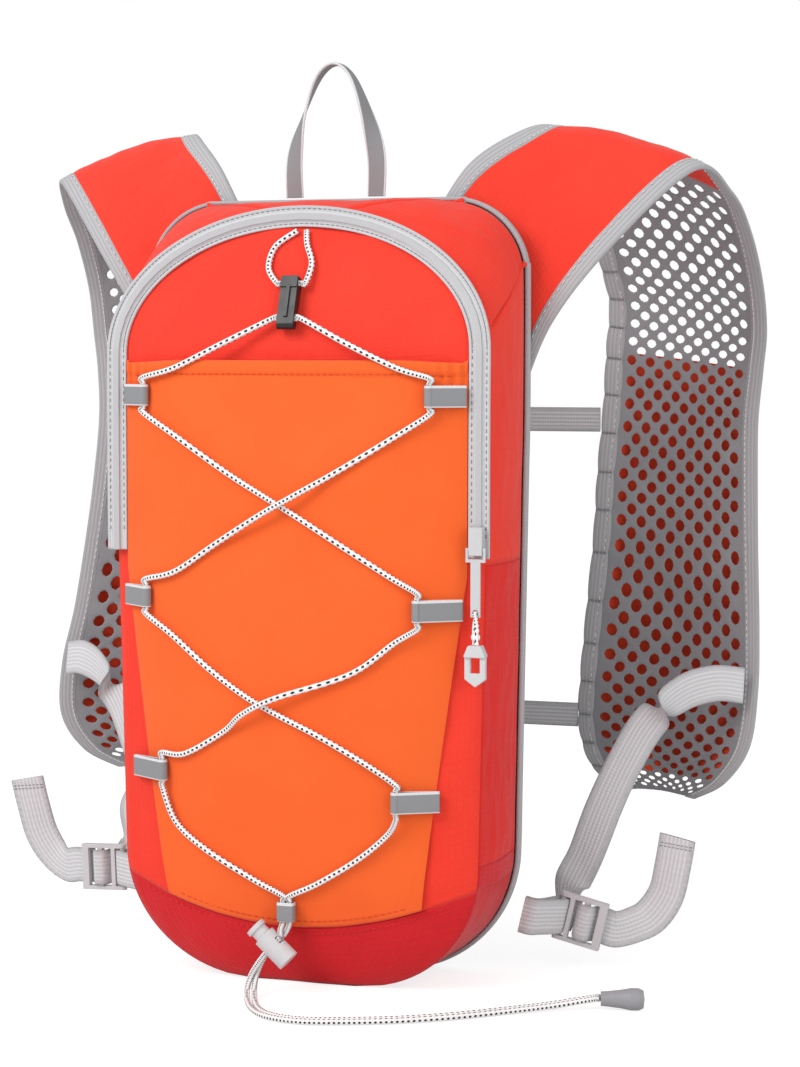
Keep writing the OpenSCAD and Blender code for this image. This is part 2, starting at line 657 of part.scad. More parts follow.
module socket_upper() {
    color("dimgray") socket(chest_web_top);
}
module socket_lower() {
    color("dimgray") socket(chest_web_low);
}
module plug_upper() {
    color("dimgray") plug(chest_web_top);
}
module plug_lower() {
    color("dimgray") plug(chest_web_low);
}

// ---------- side adjusters ----------
rail_t = 2.2;
lock_h = side_web_w + 1.6 + 2 * rail_t;
lock_w = 26;
lock_t = 4;
bar_x = -11.5;            // the round bar that the anchor webbing goes round
bar_r = 1.6;
wrap_r = bar_r + 0.4 + web_t / 2;
lock_spot = [[148, 60, 37], [131, 58, 26]];   // left (mirrored) and right
lock_turn = [2, 13];                          // how far the outer end droops
function lock_point(n, x, y, z = 0) = lock_spot[n]
    + [x * cos(lock_turn[n]) + z * sin(lock_turn[n]), y, z * cos(lock_turn[n]) - x * sin(lock_turn[n])];
module at_ladder(n) {
    translate(lock_spot[n]) rotate([0, lock_turn[n], 0]) children();
}
module ladderlock(n) {
    at_ladder(n) {
        difference() {
            box([bar_x, -lock_t / 2, -lock_h / 2], [lock_w / 2, lock_t / 2, lock_h / 2]);
            for (slot = [[bar_x - 1, -7.5], [-5, 0.3], [3.3, 8.8]])
                box([slot[0], -lock_t, -lock_h / 2 + rail_t], [slot[1], lock_t, lock_h / 2 - rail_t]);
        }
        translate([bar_x, 0, -lock_h / 2]) cylinder(r = bar_r, h = lock_h);
        for (s = [0, 1]) translate([bar_x, 0, s * (lock_h - rail_t) - lock_h / 2]) cylinder(d = lock_t, h = rail_t);
    }
}
// Webbing from the pack's back seam, round the bar and back to the seam, drawn edge on in the
// ladder's own plane; its sewn end follows the binding tape
anchor_bend = 5;          // radius of the bend where the webbing leaves the seam
function flat_side(path, i, off) = let (t = tangent(path, i)) path[i] + off * [-t[1], t[0]];
module side_anchor(n) {
    ply = web_t / 2 + 0.1;    // half the distance between the two plies at the seam
    bend = [(base_half + 7 - lock_spot[n][0]) / cos(lock_turn[n]), back_y + pad_t / 2 - lock_spot[n][1]];
    to_bar = [bar_x, 0] - bend - [0, anchor_bend];
    heading = atan2(to_bar[1], to_bar[0]) + asin(anchor_bend / norm(to_bar));
    way = [cos(heading), sin(heading)];
    leave = bend + [anchor_bend * way[1], anchor_bend * (1 - way[0])];
    run = norm([bar_x, 0] - leave);
    // One side of the loop: along the seam, round the bend and on to the bar
    function ply_side(s) = concat(
        [for (back = [26, 13]) bend + [-back, s * ply]],
        [for (k = [0:4]) let (a = k * heading / 4)
            bend + [0, anchor_bend] + (anchor_bend - s * ply) * [sin(a), -cos(a)]],
        [for (k = [1:4]) let (f = k / 5) leave + f * run * way
            + s * lerp(ply, wrap_r, smooth(f)) * [-way[1], way[0]]]);
    path = concat(ply_side(-1),
        [for (a = [-90:30:90]) [bar_x, 0] + wrap_r * [cos(heading + a), sin(heading + a)]],
        flip(ply_side(1)));
    ends = [for (i = [0:len(path) - 1]) i];
    difference() {
        at_ladder(n) translate([0, 0, -side_web_w / 2]) linear_extrude(side_web_w) polygon(concat(
            [for (i = ends) flat_side(path, i, web_t / 2)],
            [for (i = flip(ends)) flat_side(path, i, -web_t / 2)]));
        pad_plate(edge_tape_out + seat, back_y - 20, 60);
    }
}
// Path through the ladder's slots, then the free tail curling up
thread = [[-3.6, 5.4], [-3.1, 3], [-2.3, 0], [-1.2, -2.3], [0.2, -3.3], [3.4, -3.3], [4.8, -2.2], [5.9, 0],
    [7.2, 3], [9.4, 3.7], [13, 3.6], [19, 4.2]];
tail_end = [[27, 7, 1], [36, 10, 6], [44, 10, 18], [48, 8, 34], [51, 6, 50]];
module strap_tail(n) {
    path = concat([for (p = thread) lock_point(n, p[0], p[1])], [for (p = tail_end) lock_spot[n] + p + [0, 0, -3]]);
    wide = concat([for (p = thread) [sin(lock_turn[n]), 0, cos(lock_turn[n])]],
        [[0.1, 0, 1], [-0.4, 0, 0.9], [-0.9, 0.1, 0.4], [-1, 0.1, 0.1], [-1, 0.1, 0.1]]);
    webbing(path, wide, side_web_w, web_t);
}
// Webbing from the arm edge of the chest panel down to the ladder
strap_route = [[204, 132, 146], [190, 122, 148], [174, 112, 143], [158, 103, 128], [146, 95, 106], [136, 89, 82]];
strap_wide = [[0, 0.2, 1], [-0.1, 0.2, 1], [0.4, 0.2, 0.8], [0.7, 0.3, 0.5], [0.9, 0.4, 0.3], [0.9, 0.3, 0.2]];
module side_strap(n) {
    path = concat(strap_route, [lock_point(n, -10, 24, 30), lock_point(n, -13, 19, 12), lock_point(n, -9, 11.5, 2),
        lock_point(n, -4.4, 7, 0)]);
    wide = concat(strap_wide, [[0.8, 0.1, 0.3], [0.5, 0.3, 0.8], [0.2, 0.1, 1], [sin(lock_turn[n]), 0, 1]]);
    webbing(curve(path, 27), curve(wide, 27), side_web_w, web_t);
}
module side_strap_right() {
    color("lightgray") side_strap(1);
}
module side_strap_left() {
    color("lightgray") mirror([1, 0, 0]) side_strap(0);
}
module side_anchor_right() {
    color("lightgray") side_anchor(1);
}
module side_anchor_left() {
    color("lightgray") mirror([1, 0, 0]) side_anchor(0);
}
module ladderlock_right() {
    color("silver") ladderlock(1);
}
module ladderlock_left() {
    color("silver") mirror([1, 0, 0]) ladderlock(0);
}
module strap_tail_right() {
    color("lightgray") strap_tail(1);
}
module strap_tail_left() {
    color("lightgray") mirror([1, 0, 0]) strap_tail(0);
}

// ---------- reservoir ----------
bladder_z = 40;
bladder_y = back_y - 1 - 2 * seat - bladder_t;
module rounded_plate(w, h, t, r) {
    translate([0, t, 0]) rotate([90, 0, 0]) linear_extrude(t) union() {
        translate([-w / 2 + r, 0]) square([w - 2 * r, h]);
        translate([-w / 2, r]) square([w, h - 2 * r]);
        for (x = [-1, 1], z = [r, h - r]) translate([x * (w / 2 - r), z]) circle(r);
    }
}
module reservoir() {
    color("lightblue") translate([0, bladder_y, bladder_z]) rounded_plate(bladder_w, bladder_h, bladder_t, 24);
}
module reservoir_cap() {
    color("royalblue") translate([0, bladder_y - seat, bladder_z + bladder_h - cap_d / 2 - 22])
        rotate([90, 0, 0]) cylinder(d = cap_d, h = 9);
}
// Cloth divider between reservoir and main room
module reservoir_sleeve() {
    color("gray") translate([0, back_y - seat - 1, bladder_z - 6])
        rounded_plate(bladder_w + 20, bladder_h + 16, 1, 20);
}

// ---------- zip slider and pull ----------
slider_z = leg_z + 9;
slider_y = zip_bed([zip_mid, slider_z, 1, 0]) - seat - tape_t - coil_seat;
slider_w = 7;
link_drop = 34;
module zip_slider() {
    color("silver") translate([zip_mid, slider_y, slider_z]) {
        difference() {
            box([-slider_w / 2, -pin_out - 1.3, -7], [slider_w / 2, -coil_t - 0.4, 7]);
            translate([-5, -pin_out, -pin_drop]) rotate([0, 90, 0]) cylinder(r = pin_r + 0.08, h = 10);
        }
        for (s = [-1, 1]) box([s * (slider_w / 2 - 0.4) - 0.4, -2, -7], [s * (slider_w / 2 - 0.4) + 0.4, -0.2, 7]);
    }
}
// The metal link turns on a pin in the slider and carries the cord
pin_r = 0.6;
pin_drop = 4;
pin_out = 5.2;
link_w = 5;
link_t = 1.4;
arm_gap = 0.4;
tab_w = 11;
tab_h = 21;
tab_t = 3;
pull_cord_len = 14;
module at_pull() {
    translate([zip_mid, slider_y - pin_out, slider_z - pin_drop]) children();
}
module zip_link() {
    arm_x = slider_w / 2 + arm_gap;
    color("silver") at_pull() {
        translate([-arm_x - 0.5, 0, 0]) rotate([0, 90, 0]) cylinder(r = pin_r, h = 2 * arm_x + 1);
        for (s = [-1, 1]) box([s * (arm_x + 0.6) - 0.6, -0.7, -6.5], [s * (arm_x + 0.6) + 0.6, 0.7, 0.7]);
        box([-arm_x - 1.2, -0.7, -6.5], [arm_x + 1.2, 0.7, -4.9]);
        difference() {
            box([-link_w / 2, -link_t / 2, -link_drop], [link_w / 2, link_t / 2, -5]);
            translate([0, 5, -link_drop + 2.4]) rotate([90, 0, 0]) cylinder(r = 1.5, h = 10);
        }
    }
}
// A short cord through the link's eye, knotted above the tab
module zip_pull_cord() {
    low = -link_drop - pull_cord_len;
    path = curve([[-1, 1.5, low], [-1.2, 1.7, low + 8], [-0.6, 1.9, -link_drop - 1], [0, 1.6, -link_drop + 1.6],
        [0, 0, -link_drop + 2.4], [0, -1.6, -link_drop + 1.6], [0.6, -1.9, -link_drop - 1],
        [1.2, -1.7, low + 8], [1, -1.5, low]], 28);
    color("white") at_pull() cord(path, 1.1, 8);
}
module zip_pull_tab() {
    top = -link_drop - pull_cord_len - 0.1;
    color("lightgray") at_pull() difference() {
        translate([0, tab_t, top]) rotate([90, 0, 0]) linear_extrude(2 * tab_t) polygon([
            [-3.4, 0], [3.4, 0], [tab_w / 2, -5], [tab_w / 2, 4 - tab_h], [0, -tab_h], [-tab_w / 2, 4 - tab_h],
            [-tab_w / 2, -5]
        ]);
        for (s = [-1, 1]) translate([0, s * (1.5 * tab_t), top - 14]) cube([20, 2 * tab_t, 16], center = true);
        translate([0, 0, top - 10]) cube([tab_w - 6, 20, 8], center = true);
    }
}

back_panel();
edge_tape();
upper_gusset();
side_panels();
boot_panel();
front_panel();
stretch_pocket();
zip_tape();
zip_coil();
zip_slider();
zip_link();
zip_pull_cord();
zip_pull_tab();
lacing_loops();
bottom_loop();
lacing_a();
lacing_b();
hook_cord();
cord_hook();
lock_barrel();
lock_button();
lock_spring();
tail_cord_a();
tail_cord_b();
cord_bell();
carry_handle();
yoke_left();
yoke_right();
chest_mesh_left();
chest_mesh_right();
neck_binding_left();
neck_binding_right();
arm_binding_left();
arm_binding_right();
chest_pocket_left();
chest_pocket_right();
chest_web_upper();
chest_web_lower();
socket_web_upper();
socket_web_lower();
socket_upper();
socket_lower();
plug_upper();
plug_lower();
side_strap_left();
side_strap_right();
side_anchor_left();
side_anchor_right();
ladderlock_left();
ladderlock_right();
strap_tail_left();
strap_tail_right();
reservoir();
reservoir_cap();
reservoir_sleeve();
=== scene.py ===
# %% [markdown]
# # A laced hydration pack
# The pack was first drawn as exact solids, which give every size, seat and moving joint.
# This notebook dresses those solids: cloth panels, braided cord, webbing, air mesh and moulded
# buckles. The solids are loaded as a fixed frame and never moved. Every soft piece made here
# stands in the room of its solid and takes that solid's place in the picture.

import math

import bmesh
import bpy
from mathutils import Matrix, Vector, noise


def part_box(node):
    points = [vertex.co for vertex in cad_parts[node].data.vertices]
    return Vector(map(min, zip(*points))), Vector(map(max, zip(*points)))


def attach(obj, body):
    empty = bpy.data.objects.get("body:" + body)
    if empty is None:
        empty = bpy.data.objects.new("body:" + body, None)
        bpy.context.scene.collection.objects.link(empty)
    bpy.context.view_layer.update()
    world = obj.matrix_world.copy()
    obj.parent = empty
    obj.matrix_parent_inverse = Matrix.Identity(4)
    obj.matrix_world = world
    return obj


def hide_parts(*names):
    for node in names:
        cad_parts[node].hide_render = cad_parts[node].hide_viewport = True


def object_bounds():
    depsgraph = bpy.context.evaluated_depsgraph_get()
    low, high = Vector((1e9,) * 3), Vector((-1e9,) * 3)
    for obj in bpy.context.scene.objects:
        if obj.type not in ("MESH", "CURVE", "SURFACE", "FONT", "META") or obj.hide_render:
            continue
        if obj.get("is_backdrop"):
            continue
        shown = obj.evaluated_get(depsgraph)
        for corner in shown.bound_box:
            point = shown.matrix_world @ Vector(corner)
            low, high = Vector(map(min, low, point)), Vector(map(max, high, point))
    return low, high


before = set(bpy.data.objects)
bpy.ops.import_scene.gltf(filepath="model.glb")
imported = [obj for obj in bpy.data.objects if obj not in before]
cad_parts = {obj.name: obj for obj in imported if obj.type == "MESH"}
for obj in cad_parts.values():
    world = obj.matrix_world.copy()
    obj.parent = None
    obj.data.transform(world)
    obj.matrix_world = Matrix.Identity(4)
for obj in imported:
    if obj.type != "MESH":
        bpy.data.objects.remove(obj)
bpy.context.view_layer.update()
MM = 0.001

# %% [markdown]
# ## Camera
# The pack is seen from its laced front, from a little to the right and a little above the
# middle. A long lens keeps the upright edges nearly parallel. The camera is aimed with a
# heading and a drop angle, because those are how a photographer would write them down.

# %% Camera
AZIMUTH = math.radians(18)
DROP = math.radians(4.2)
ahead = Vector((-math.sin(AZIMUTH), math.cos(AZIMUTH), 0))
right = Vector((math.cos(AZIMUTH), math.sin(AZIMUTH), 0))
camera = bpy.data.objects.new("camera", bpy.data.cameras.new("camera"))
bpy.context.scene.collection.objects.link(camera)
camera.data.lens = 84.2
camera.data.sensor_width = 36
camera.location = (right * 46 - ahead * 1300 + Vector((0, 0, 330))) * MM
look = ahead * math.cos(DROP) - Vector((0, 0, math.sin(DROP)))
camera.rotation_euler = look.to_track_quat("-Z", "Y").to_euler()
camera.data.clip_end = 20
bpy.context.scene.camera = camera
print("camera at", [round(x, 3) for x in camera.location])

# %% [markdown]
# ## Floor and light
# A pale floor meets a white world without a line between them. Light Path tells a ray that
# comes straight from the camera from one that carries light, so the floor can look white to
# the camera and still take the soft shadow below the pack. One broad lamp stands high on the
# left, as a softbox would, and a weaker one fills the right side.

# %% Node helper, floor and world


def add(tree, kind, inputs=None, **settings):
    """Adds a node; an input is a value, or an output socket to link from."""
    node = tree.nodes.new(kind)
    for key, value in settings.items():
        setattr(node, key, value)
    for key, value in (inputs or {}).items():
        if isinstance(value, bpy.types.NodeSocket):
            tree.links.new(value, node.inputs[key])
        else:
            node.inputs[key].default_value = value
    return node


def linear(code):
    """A colour written as sRGB hex, as the linear colour that a shader takes."""
    parts = [int(code[i : i + 2], 16) / 255 for i in (1, 3, 5)]
    return tuple(p / 12.92 if p < 0.04045 else ((p + 0.055) / 1.055) ** 2.4 for p in parts) + (1,)


bm = bmesh.new()
bmesh.ops.create_grid(bm, x_segments=1, y_segments=1, size=4)
floor = bpy.data.objects.new("floor", bpy.data.meshes.new("floor"))
bm.to_mesh(floor.data)
bm.free()
bpy.context.scene.collection.objects.link(floor)
floor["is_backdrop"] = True
paper = bpy.data.materials.new("white_seamless_paper")
paper.use_nodes = True
tree = paper.node_tree
tree.nodes.clear()
path = add(tree, "ShaderNodeLightPath")
lit = add(tree, "ShaderNodeBsdfDiffuse", {"Color": linear("#A8A8A8")})
glow = add(tree, "ShaderNodeEmission", {"Color": (1, 1, 1, 1), "Strength": 0.78})
seen = add(tree, "ShaderNodeAddShader", {0: lit.outputs[0], 1: glow.outputs[0]})
bounce = add(tree, "ShaderNodeBsdfDiffuse", {"Color": linear("#E6E6E6")})
mix = add(tree, "ShaderNodeMixShader",
          {0: path.outputs["Is Camera Ray"], 1: bounce.outputs[0], 2: seen.outputs[0]})
add(tree, "ShaderNodeOutputMaterial", {"Surface": mix.outputs[0]})
floor.data.materials.append(paper)

world = bpy.data.worlds.new("white_room")
bpy.context.scene.world = world
world.use_nodes = True
tree = world.node_tree
tree.nodes.clear()
path = add(tree, "ShaderNodeLightPath")
direct = add(tree, "ShaderNodeMath",
             {0: path.outputs["Is Camera Ray"], 1: path.outputs["Is Transmission Ray"]},
             operation="MAXIMUM")
room = add(tree, "ShaderNodeBackground", {"Color": (1, 1, 1, 1), "Strength": 0.62})
white = add(tree, "ShaderNodeBackground", {"Color": (1, 1, 1, 1), "Strength": 1.0})
mix = add(tree, "ShaderNodeMixShader", {0: direct.outputs[0], 1: room.outputs[0], 2: white.outputs[0]})
add(tree, "ShaderNodeOutputWorld", {"Surface": mix.outputs[0]})
bpy.context.scene.view_settings.view_transform = "Standard"

# %% Two softboxes


def softbox(name, place, size, power):
    """A square lamp that faces the middle of the pack."""
    lamp = bpy.data.objects.new(name, bpy.data.lights.new(name, "AREA"))
    lamp.data.size = size
    lamp.data.energy = power
    lamp.location = place
    lamp.rotation_euler = (Vector((0, 0.05, 0.2)) - Vector(place)).to_track_quat("-Z", "Y").to_euler()
    bpy.context.scene.collection.objects.link(lamp)


softbox("key_softbox", (-0.9, -1.5, 1.5), 1.1, 26)
softbox("fill_softbox", (1.6, -0.9, 0.9), 1.2, 8)

# %% [markdown]
# ## How every soft piece is made
# A cloth panel starts as a flat grid, just as a real one starts as a flat cut of cloth. Each
# point of the grid has a place u across the panel and v along it, and a rule says where that
# point lies on the pack. The flat grid also gives the UV map in real metres, so that a weave of
# 1 mm threads stays a weave of 1 mm threads wherever the cloth bends. A closed grid, whose two
# long edges meet, makes a tube, which serves for cord and for folded binding.

# %% Panels, tubes and ribbons


def lerp(a, b, t):
    return a + (b - a) * t


def smooth(t):
    t = max(0.0, min(1.0, t))
    return t * t * (3 - 2 * t)


def curve_at(points, t):
    """The place t (0 to 1) on a smooth curve through the points, which are Vectors."""
    n = len(points) - 1
    i = min(n - 1, max(0, int(t * n)))
    f = t * n - i
    p0, p1, p2, p3 = (points[max(0, min(n, k))] for k in (i - 1, i, i + 1, i + 2))
    return 0.5 * (2 * p1 + (p2 - p0) * f + (2 * p0 - 5 * p1 + 4 * p2 - p3) * f * f
                  + (3 * p1 - p0 - 3 * p2 + p3) * f * f * f)


def keep(name, bm, material, body="pack", stands_for=()):
    """Turns a finished bmesh into a piece that rides on a body."""
    made = bpy.data.objects.new(name, bpy.data.meshes.new(name))
    for face in bm.faces:
        face.smooth = True
    bm.to_mesh(made.data)
    bm.free()
    made.data.materials.append(material)
    bpy.context.scene.collection.objects.link(made)
    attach(made, body)
    if stands_for:
        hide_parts(*stands_for)
    return made


def laid_grid(place, across, along, closed=False, inside=None, bm=None):
    """A grid laid out by place(u, v), which gives millimetres; its UV map is in metres."""
    bm = bm or bmesh.new()
    uv = bm.loops.layers.uv.verify()
    new = bmesh.ops.create_grid(bm, x_segments=across, y_segments=along, size=0.5)["verts"]
    width = sum((Vector(place((k + 1) / 24, 0.5)) - Vector(place(k / 24, 0.5))).length for k in range(24))
    length = sum((Vector(place(0.5, (k + 1) / 60)) - Vector(place(0.5, k / 60))).length for k in range(60))
    faces = {f for v in new for f in v.link_faces}
    for face in faces:
        for loop in face.loops:
            loop[uv].uv = ((loop.vert.co.x + 0.5) * width * MM, (loop.vert.co.y + 0.5) * length * MM)
    for vert in new:
        vert.co = Vector(place(vert.co.x + 0.5, vert.co.y + 0.5)) * MM
    if closed:
        bmesh.ops.remove_doubles(bm, verts=new, dist=1e-6)
        faces = {f for f in faces if f.is_valid}
    bm.normal_update()
    if inside is not None:
        middle = Vector(inside) * MM
        if sum(f.normal.dot(f.calc_center_median() - middle) * f.calc_area() for f in faces) < 0:
            bmesh.ops.reverse_faces(bm, faces=list(faces))
    return bm


def close_ends(bm):
    """Closes the open ends of tubes and makes every face point outwards."""
    rims = [e for e in bm.edges if e.is_boundary]
    if rims:
        bmesh.ops.holes_fill(bm, edges=rims, sides=0)
    bmesh.ops.recalc_face_normals(bm, faces=bm.faces)


def thicken(piece, thickness, offset=-1):
    """Gives a sheet its cloth's thickness, inwards from the face that shows."""
    solid = piece.modifiers.new("cloth thickness", "SOLIDIFY")
    solid.thickness = thickness * MM
    solid.offset = offset
    return piece


def tangent(line, t):
    step = 0.002
    return (curve_at(line, min(1, t + step)) - curve_at(line, max(0, t - step))).normalized()


def tube(bm, points, radius, sides, rings, scale=lambda t: 1.0):
    """A round cord through the points, in millimetres."""
    line = [Vector(p) for p in points]

    def place(u, v):
        way = tangent(line, v)
        side = way.cross(Vector((1, 0, 0) if abs(way.y) > 0.9 else (0, 1, 0))).normalized()
        turn = 2 * math.pi * u
        r = radius * scale(v)
        return curve_at(line, v) + r * (math.cos(turn) * side + math.sin(turn) * side.cross(way))

    return laid_grid(place, sides, rings, closed=True, bm=bm)


def ribbon(points, wides, width, thickness, along, across=8, edge=None, bm=None):
    """Flat webbing through the points; its width lies along the matching directions in wides."""
    line = [Vector(p) for p in points]
    turns = [Vector(w) for w in wides]

    def place(u, v):
        way = tangent(line, v)
        flat = curve_at(turns, v)
        flat = (flat - way * flat.dot(way)).normalized()
        out = way.cross(flat)
        ring = 2 * math.pi * u
        half = width / 2 + (edge(v) if edge else 0)
        across_now = math.copysign(abs(math.cos(ring)) ** 0.35, math.cos(ring)) * half
        lift = math.copysign(abs(math.sin(ring)) ** 0.6, math.sin(ring)) * thickness / 2
        return curve_at(line, v) + flat * across_now + out * lift

    return laid_grid(place, across * 2, along, closed=True, bm=bm)


print("helpers ready")

# %% [markdown]
# ## Materials
# Every finish starts from what the real one is. The cloths are nylon: dull, with a faint weave
# and a soft sheen where the surface turns away. Threads run at right angles, so two wave
# patterns at right angles, read from the UV map in metres, stand for them. A slow noise shifts
# the colour a little, as dye and handling do. The real threads are about 0.4 mm apart, which is
# too fine to show, so they are drawn two to three times as coarse.

# %% Cloth


def principled(name, hex_colour, roughness, **settings):
    """A material with one Principled shader; returns the material, its tree and the shader."""
    made = bpy.data.materials.new(name)
    made.use_nodes = True
    tree = made.node_tree
    shader = tree.nodes["Principled BSDF"]
    shader.inputs["Base Color"].default_value = linear(hex_colour)
    shader.inputs["Roughness"].default_value = roughness
    for key, value in settings.items():
        shader.inputs[key.replace("_", " ")].default_value = value
    return made, tree, shader


def waves(tree, coordinate, axis, spacing_mm, kind="SIN"):
    """Bands at right angles to one axis, that far apart in real millimetres."""
    return add(tree, "ShaderNodeTexWave",
               {"Vector": coordinate, "Scale": 0.31416 / (spacing_mm * MM), "Distortion": 0.0},
               wave_type="BANDS", bands_direction=axis, wave_profile=kind).outputs["Fac"]


def sums(tree, operation, a, b):
    return add(tree, "ShaderNodeMath", {0: a, 1: b}, operation=operation).outputs[0]


def tinted(tree, shader, base, dark, factor):
    """Mixes a darker shade into the base colour by a pattern."""
    mixed = add(tree, "ShaderNodeMix", {0: factor, 6: linear(base), 7: linear(dark)}, data_type="RGBA")
    tree.links.new(mixed.outputs[2], shader.inputs["Base Color"])
    return mixed


def cloth(name, base, dark, thread_mm, grid_mm=0, relief=0.05, roughness=0.8, sheen=0.15, crease=0.5):
    """Woven nylon: threads, a coarser ripstop grid if there is one, and soft creases."""
    made, tree, shader = principled(name, base, roughness, Sheen_Weight=sheen, Sheen_Roughness=0.4,
                                    Specular_IOR_Level=0.35)
    uv = add(tree, "ShaderNodeTexCoord").outputs["UV"]
    place = add(tree, "ShaderNodeTexCoord").outputs["Object"]
    height = sums(tree, "MULTIPLY", waves(tree, uv, "X", thread_mm), waves(tree, uv, "Y", thread_mm))
    if grid_mm:
        lines = sums(tree, "MAXIMUM", waves(tree, uv, "X", grid_mm), waves(tree, uv, "Y", grid_mm))
        sharp = sums(tree, "POWER", lines, 14.0)
        height = sums(tree, "ADD", height, sums(tree, "MULTIPLY", sharp, 1.6))
    slow = add(tree, "ShaderNodeTexNoise", {"Vector": place, "Scale": 22.0, "Detail": 3.0}).outputs["Fac"]
    tinted(tree, shader, base, dark, slow)
    rough = add(tree, "ShaderNodeTexNoise", {"Vector": place, "Scale": 55.0, "Detail": 4.0,
                                             "Distortion": 0.6}).outputs["Fac"]
    threads = add(tree, "ShaderNodeBump", {"Height": height, "Distance": relief * MM, "Strength": 0.8})
    folds = add(tree, "ShaderNodeBump", {"Height": rough, "Distance": 3.0 * crease * MM, "Strength": 0.45,
                                         "Normal": threads.outputs[0]})
    tree.links.new(folds.outputs[0], shader.inputs["Normal"])
    return made


# Ripstop nylon, dyed warm red: a 5 mm grid of thicker threads stands slightly proud.
red_ripstop = cloth("red_ripstop_nylon", "#F8402C", "#EE3322", 1.0, grid_mm=5.0, relief=0.08)
# The same cloth in a deeper red on the sides: painted shade for the sides that turn away from the light.
side_ripstop_painted_shade = cloth("deep_red_painted_shade_ripstop_nylon", "#EA2A22", "#DC1F1A", 1.0, grid_mm=5.0, relief=0.08)
# Coated nylon on the base, darker, tighter and a little shinier.
coated_red = cloth("coated_red_nylon", "#DE1420", "#C80A17", 1.2, grid_mm=4.0, relief=0.1,
                   roughness=0.6, crease=0.35)
# Stretch nylon: fine knit without a grid, very dull.
orange_stretch = cloth("orange_stretch_nylon", "#FB6A2A", "#F45F20", 0.8, relief=0.04,
                       roughness=0.85, sheen=0.2, crease=0.25)
# Lightweight ripstop of the chest pockets.
chest_ripstop = cloth("orange_red_ripstop_nylon", "#F4532F", "#EA4626", 1.0, grid_mm=5.0, relief=0.08)
# Thin lining cloth round the water reservoir.
lining = cloth("grey_lining_nylon", "#8F8F93", "#838388", 1.0)
# Spacer mesh over the back foam: small round hollows 3 mm apart.
spacer = cloth("grey_spacer_mesh", "#8C8C8E", "#77777A", 3.0, relief=0.5, roughness=0.95)
print("cloths:", len(bpy.data.materials))

# %% [markdown]
# Webbing and tape are woven too, but their threads are as thick as string: ribs run along the
# strap and cross threads tie them down. The grooves between them are painted a darker colour, as
# painted shade. The reflective straps carry a smooth grey band of glass beads along the middle,
# between two light woven edges. The band is found from the distance to the middle of the strap,
# so each strap's width goes into its material.

# %% Webbing and tape


def webbing_cloth(name, base, dark, rib_mm=1.6, cross_mm=1.3, relief=0.25):
    made, tree, shader = principled(name, base, 0.75, Sheen_Weight=0.15, Specular_IOR_Level=0.4)
    uv = add(tree, "ShaderNodeTexCoord").outputs["UV"]
    ribs = waves(tree, uv, "X", rib_mm)
    knots = sums(tree, "MULTIPLY", ribs, waves(tree, uv, "Y", cross_mm))
    height = sums(tree, "ADD", ribs, knots)
    # painted shade: the colour darkens where the weave is low, in the grooves between ribs and cross threads
    shade = add(tree, "ShaderNodeMapRange", {"Value": height, "From Min": 0.0, "From Max": 1.2,
                                             "To Min": 1.0, "To Max": 0.0}).outputs[0]
    tinted(tree, shader, base, dark, shade)
    bump = add(tree, "ShaderNodeBump", {"Height": height, "Distance": relief * MM, "Strength": 0.9})
    tree.links.new(bump.outputs[0], shader.inputs["Normal"])
    return made


def reflective_cloth(name, width_mm, band):
    """Light woven edges with a smooth reflective band over that share of the width."""
    made, tree, shader = principled(name, "#D8D8DA", 0.6)
    uv = add(tree, "ShaderNodeTexCoord").outputs["UV"]
    across = add(tree, "ShaderNodeSeparateXYZ", {0: uv}).outputs["X"]
    # the UV map runs once round the strap, face and back, so it is folded at a quarter turn
    turn = sums(tree, "MULTIPLY", across, 2 * math.pi / (width_mm * 2.25 * MM))
    place = add(tree, "ShaderNodeMath", {0: turn}, operation="COSINE").outputs[0]
    near = sums(tree, "LESS_THAN",
                add(tree, "ShaderNodeMath", {0: place}, operation="ABSOLUTE").outputs[0], band)
    tinted(tree, shader, "#DCDCDE", "#8C8D90", near)
    threads = sums(tree, "MULTIPLY", waves(tree, uv, "X", 1.1), waves(tree, uv, "Y", 1.1))
    beads = add(tree, "ShaderNodeTexNoise", {"Vector": uv, "Scale": 2500.0}).outputs["Fac"]
    mixed = add(tree, "ShaderNodeMix", {0: near, 2: threads, 3: beads}, data_type="FLOAT")
    bump = add(tree, "ShaderNodeBump", {"Height": mixed.outputs[0], "Distance": 0.12 * MM, "Strength": 0.6})
    tree.links.new(bump.outputs[0], shader.inputs["Normal"])
    return made


# the second colour of each webbing and tape is the painted shade in its grooves
light_web = webbing_cloth("light_grey_nylon_webbing", "#DCDCDE", "#C6C6C9", rib_mm=0.8, cross_mm=1.6,
                          relief=0.12)
grey_web = webbing_cloth("grey_nylon_webbing", "#CFCFD1", "#B2B2B5", rib_mm=0.8, cross_mm=1.5, relief=0.12)
binding_tape = webbing_cloth("grey_binding_tape", "#BABABC", "#A6A6A9", rib_mm=1.0, cross_mm=0.9, relief=0.08)
zip_cloth = webbing_cloth("pale_zip_tape", "#D6D6D8", "#C2C2C5", rib_mm=1.1, cross_mm=1.0, relief=0.08)
loop_web = reflective_cloth("reflective_loop_webbing", 11, 0.55)
handle_web = reflective_cloth("reflective_handle_webbing", 10, 0.6)
thread_grey = principled("grey_sewing_thread", "#8A8A8D", 0.6)[0]
thread_pale = principled("pale_sewing_thread", "#E4E4E6", 0.6)[0]
thread_orange = principled("orange_sewing_thread", "#D9480F", 0.6)[0]
print("webbings made")

# %% [markdown]
# The elastic cord is a rubber core in a braided white cover with black tracer threads. The
# tracers show as small slanted flecks. Two slanted waves that cross, read from the UV map of
# the tube, leave diamonds where both are high, and those are the flecks.

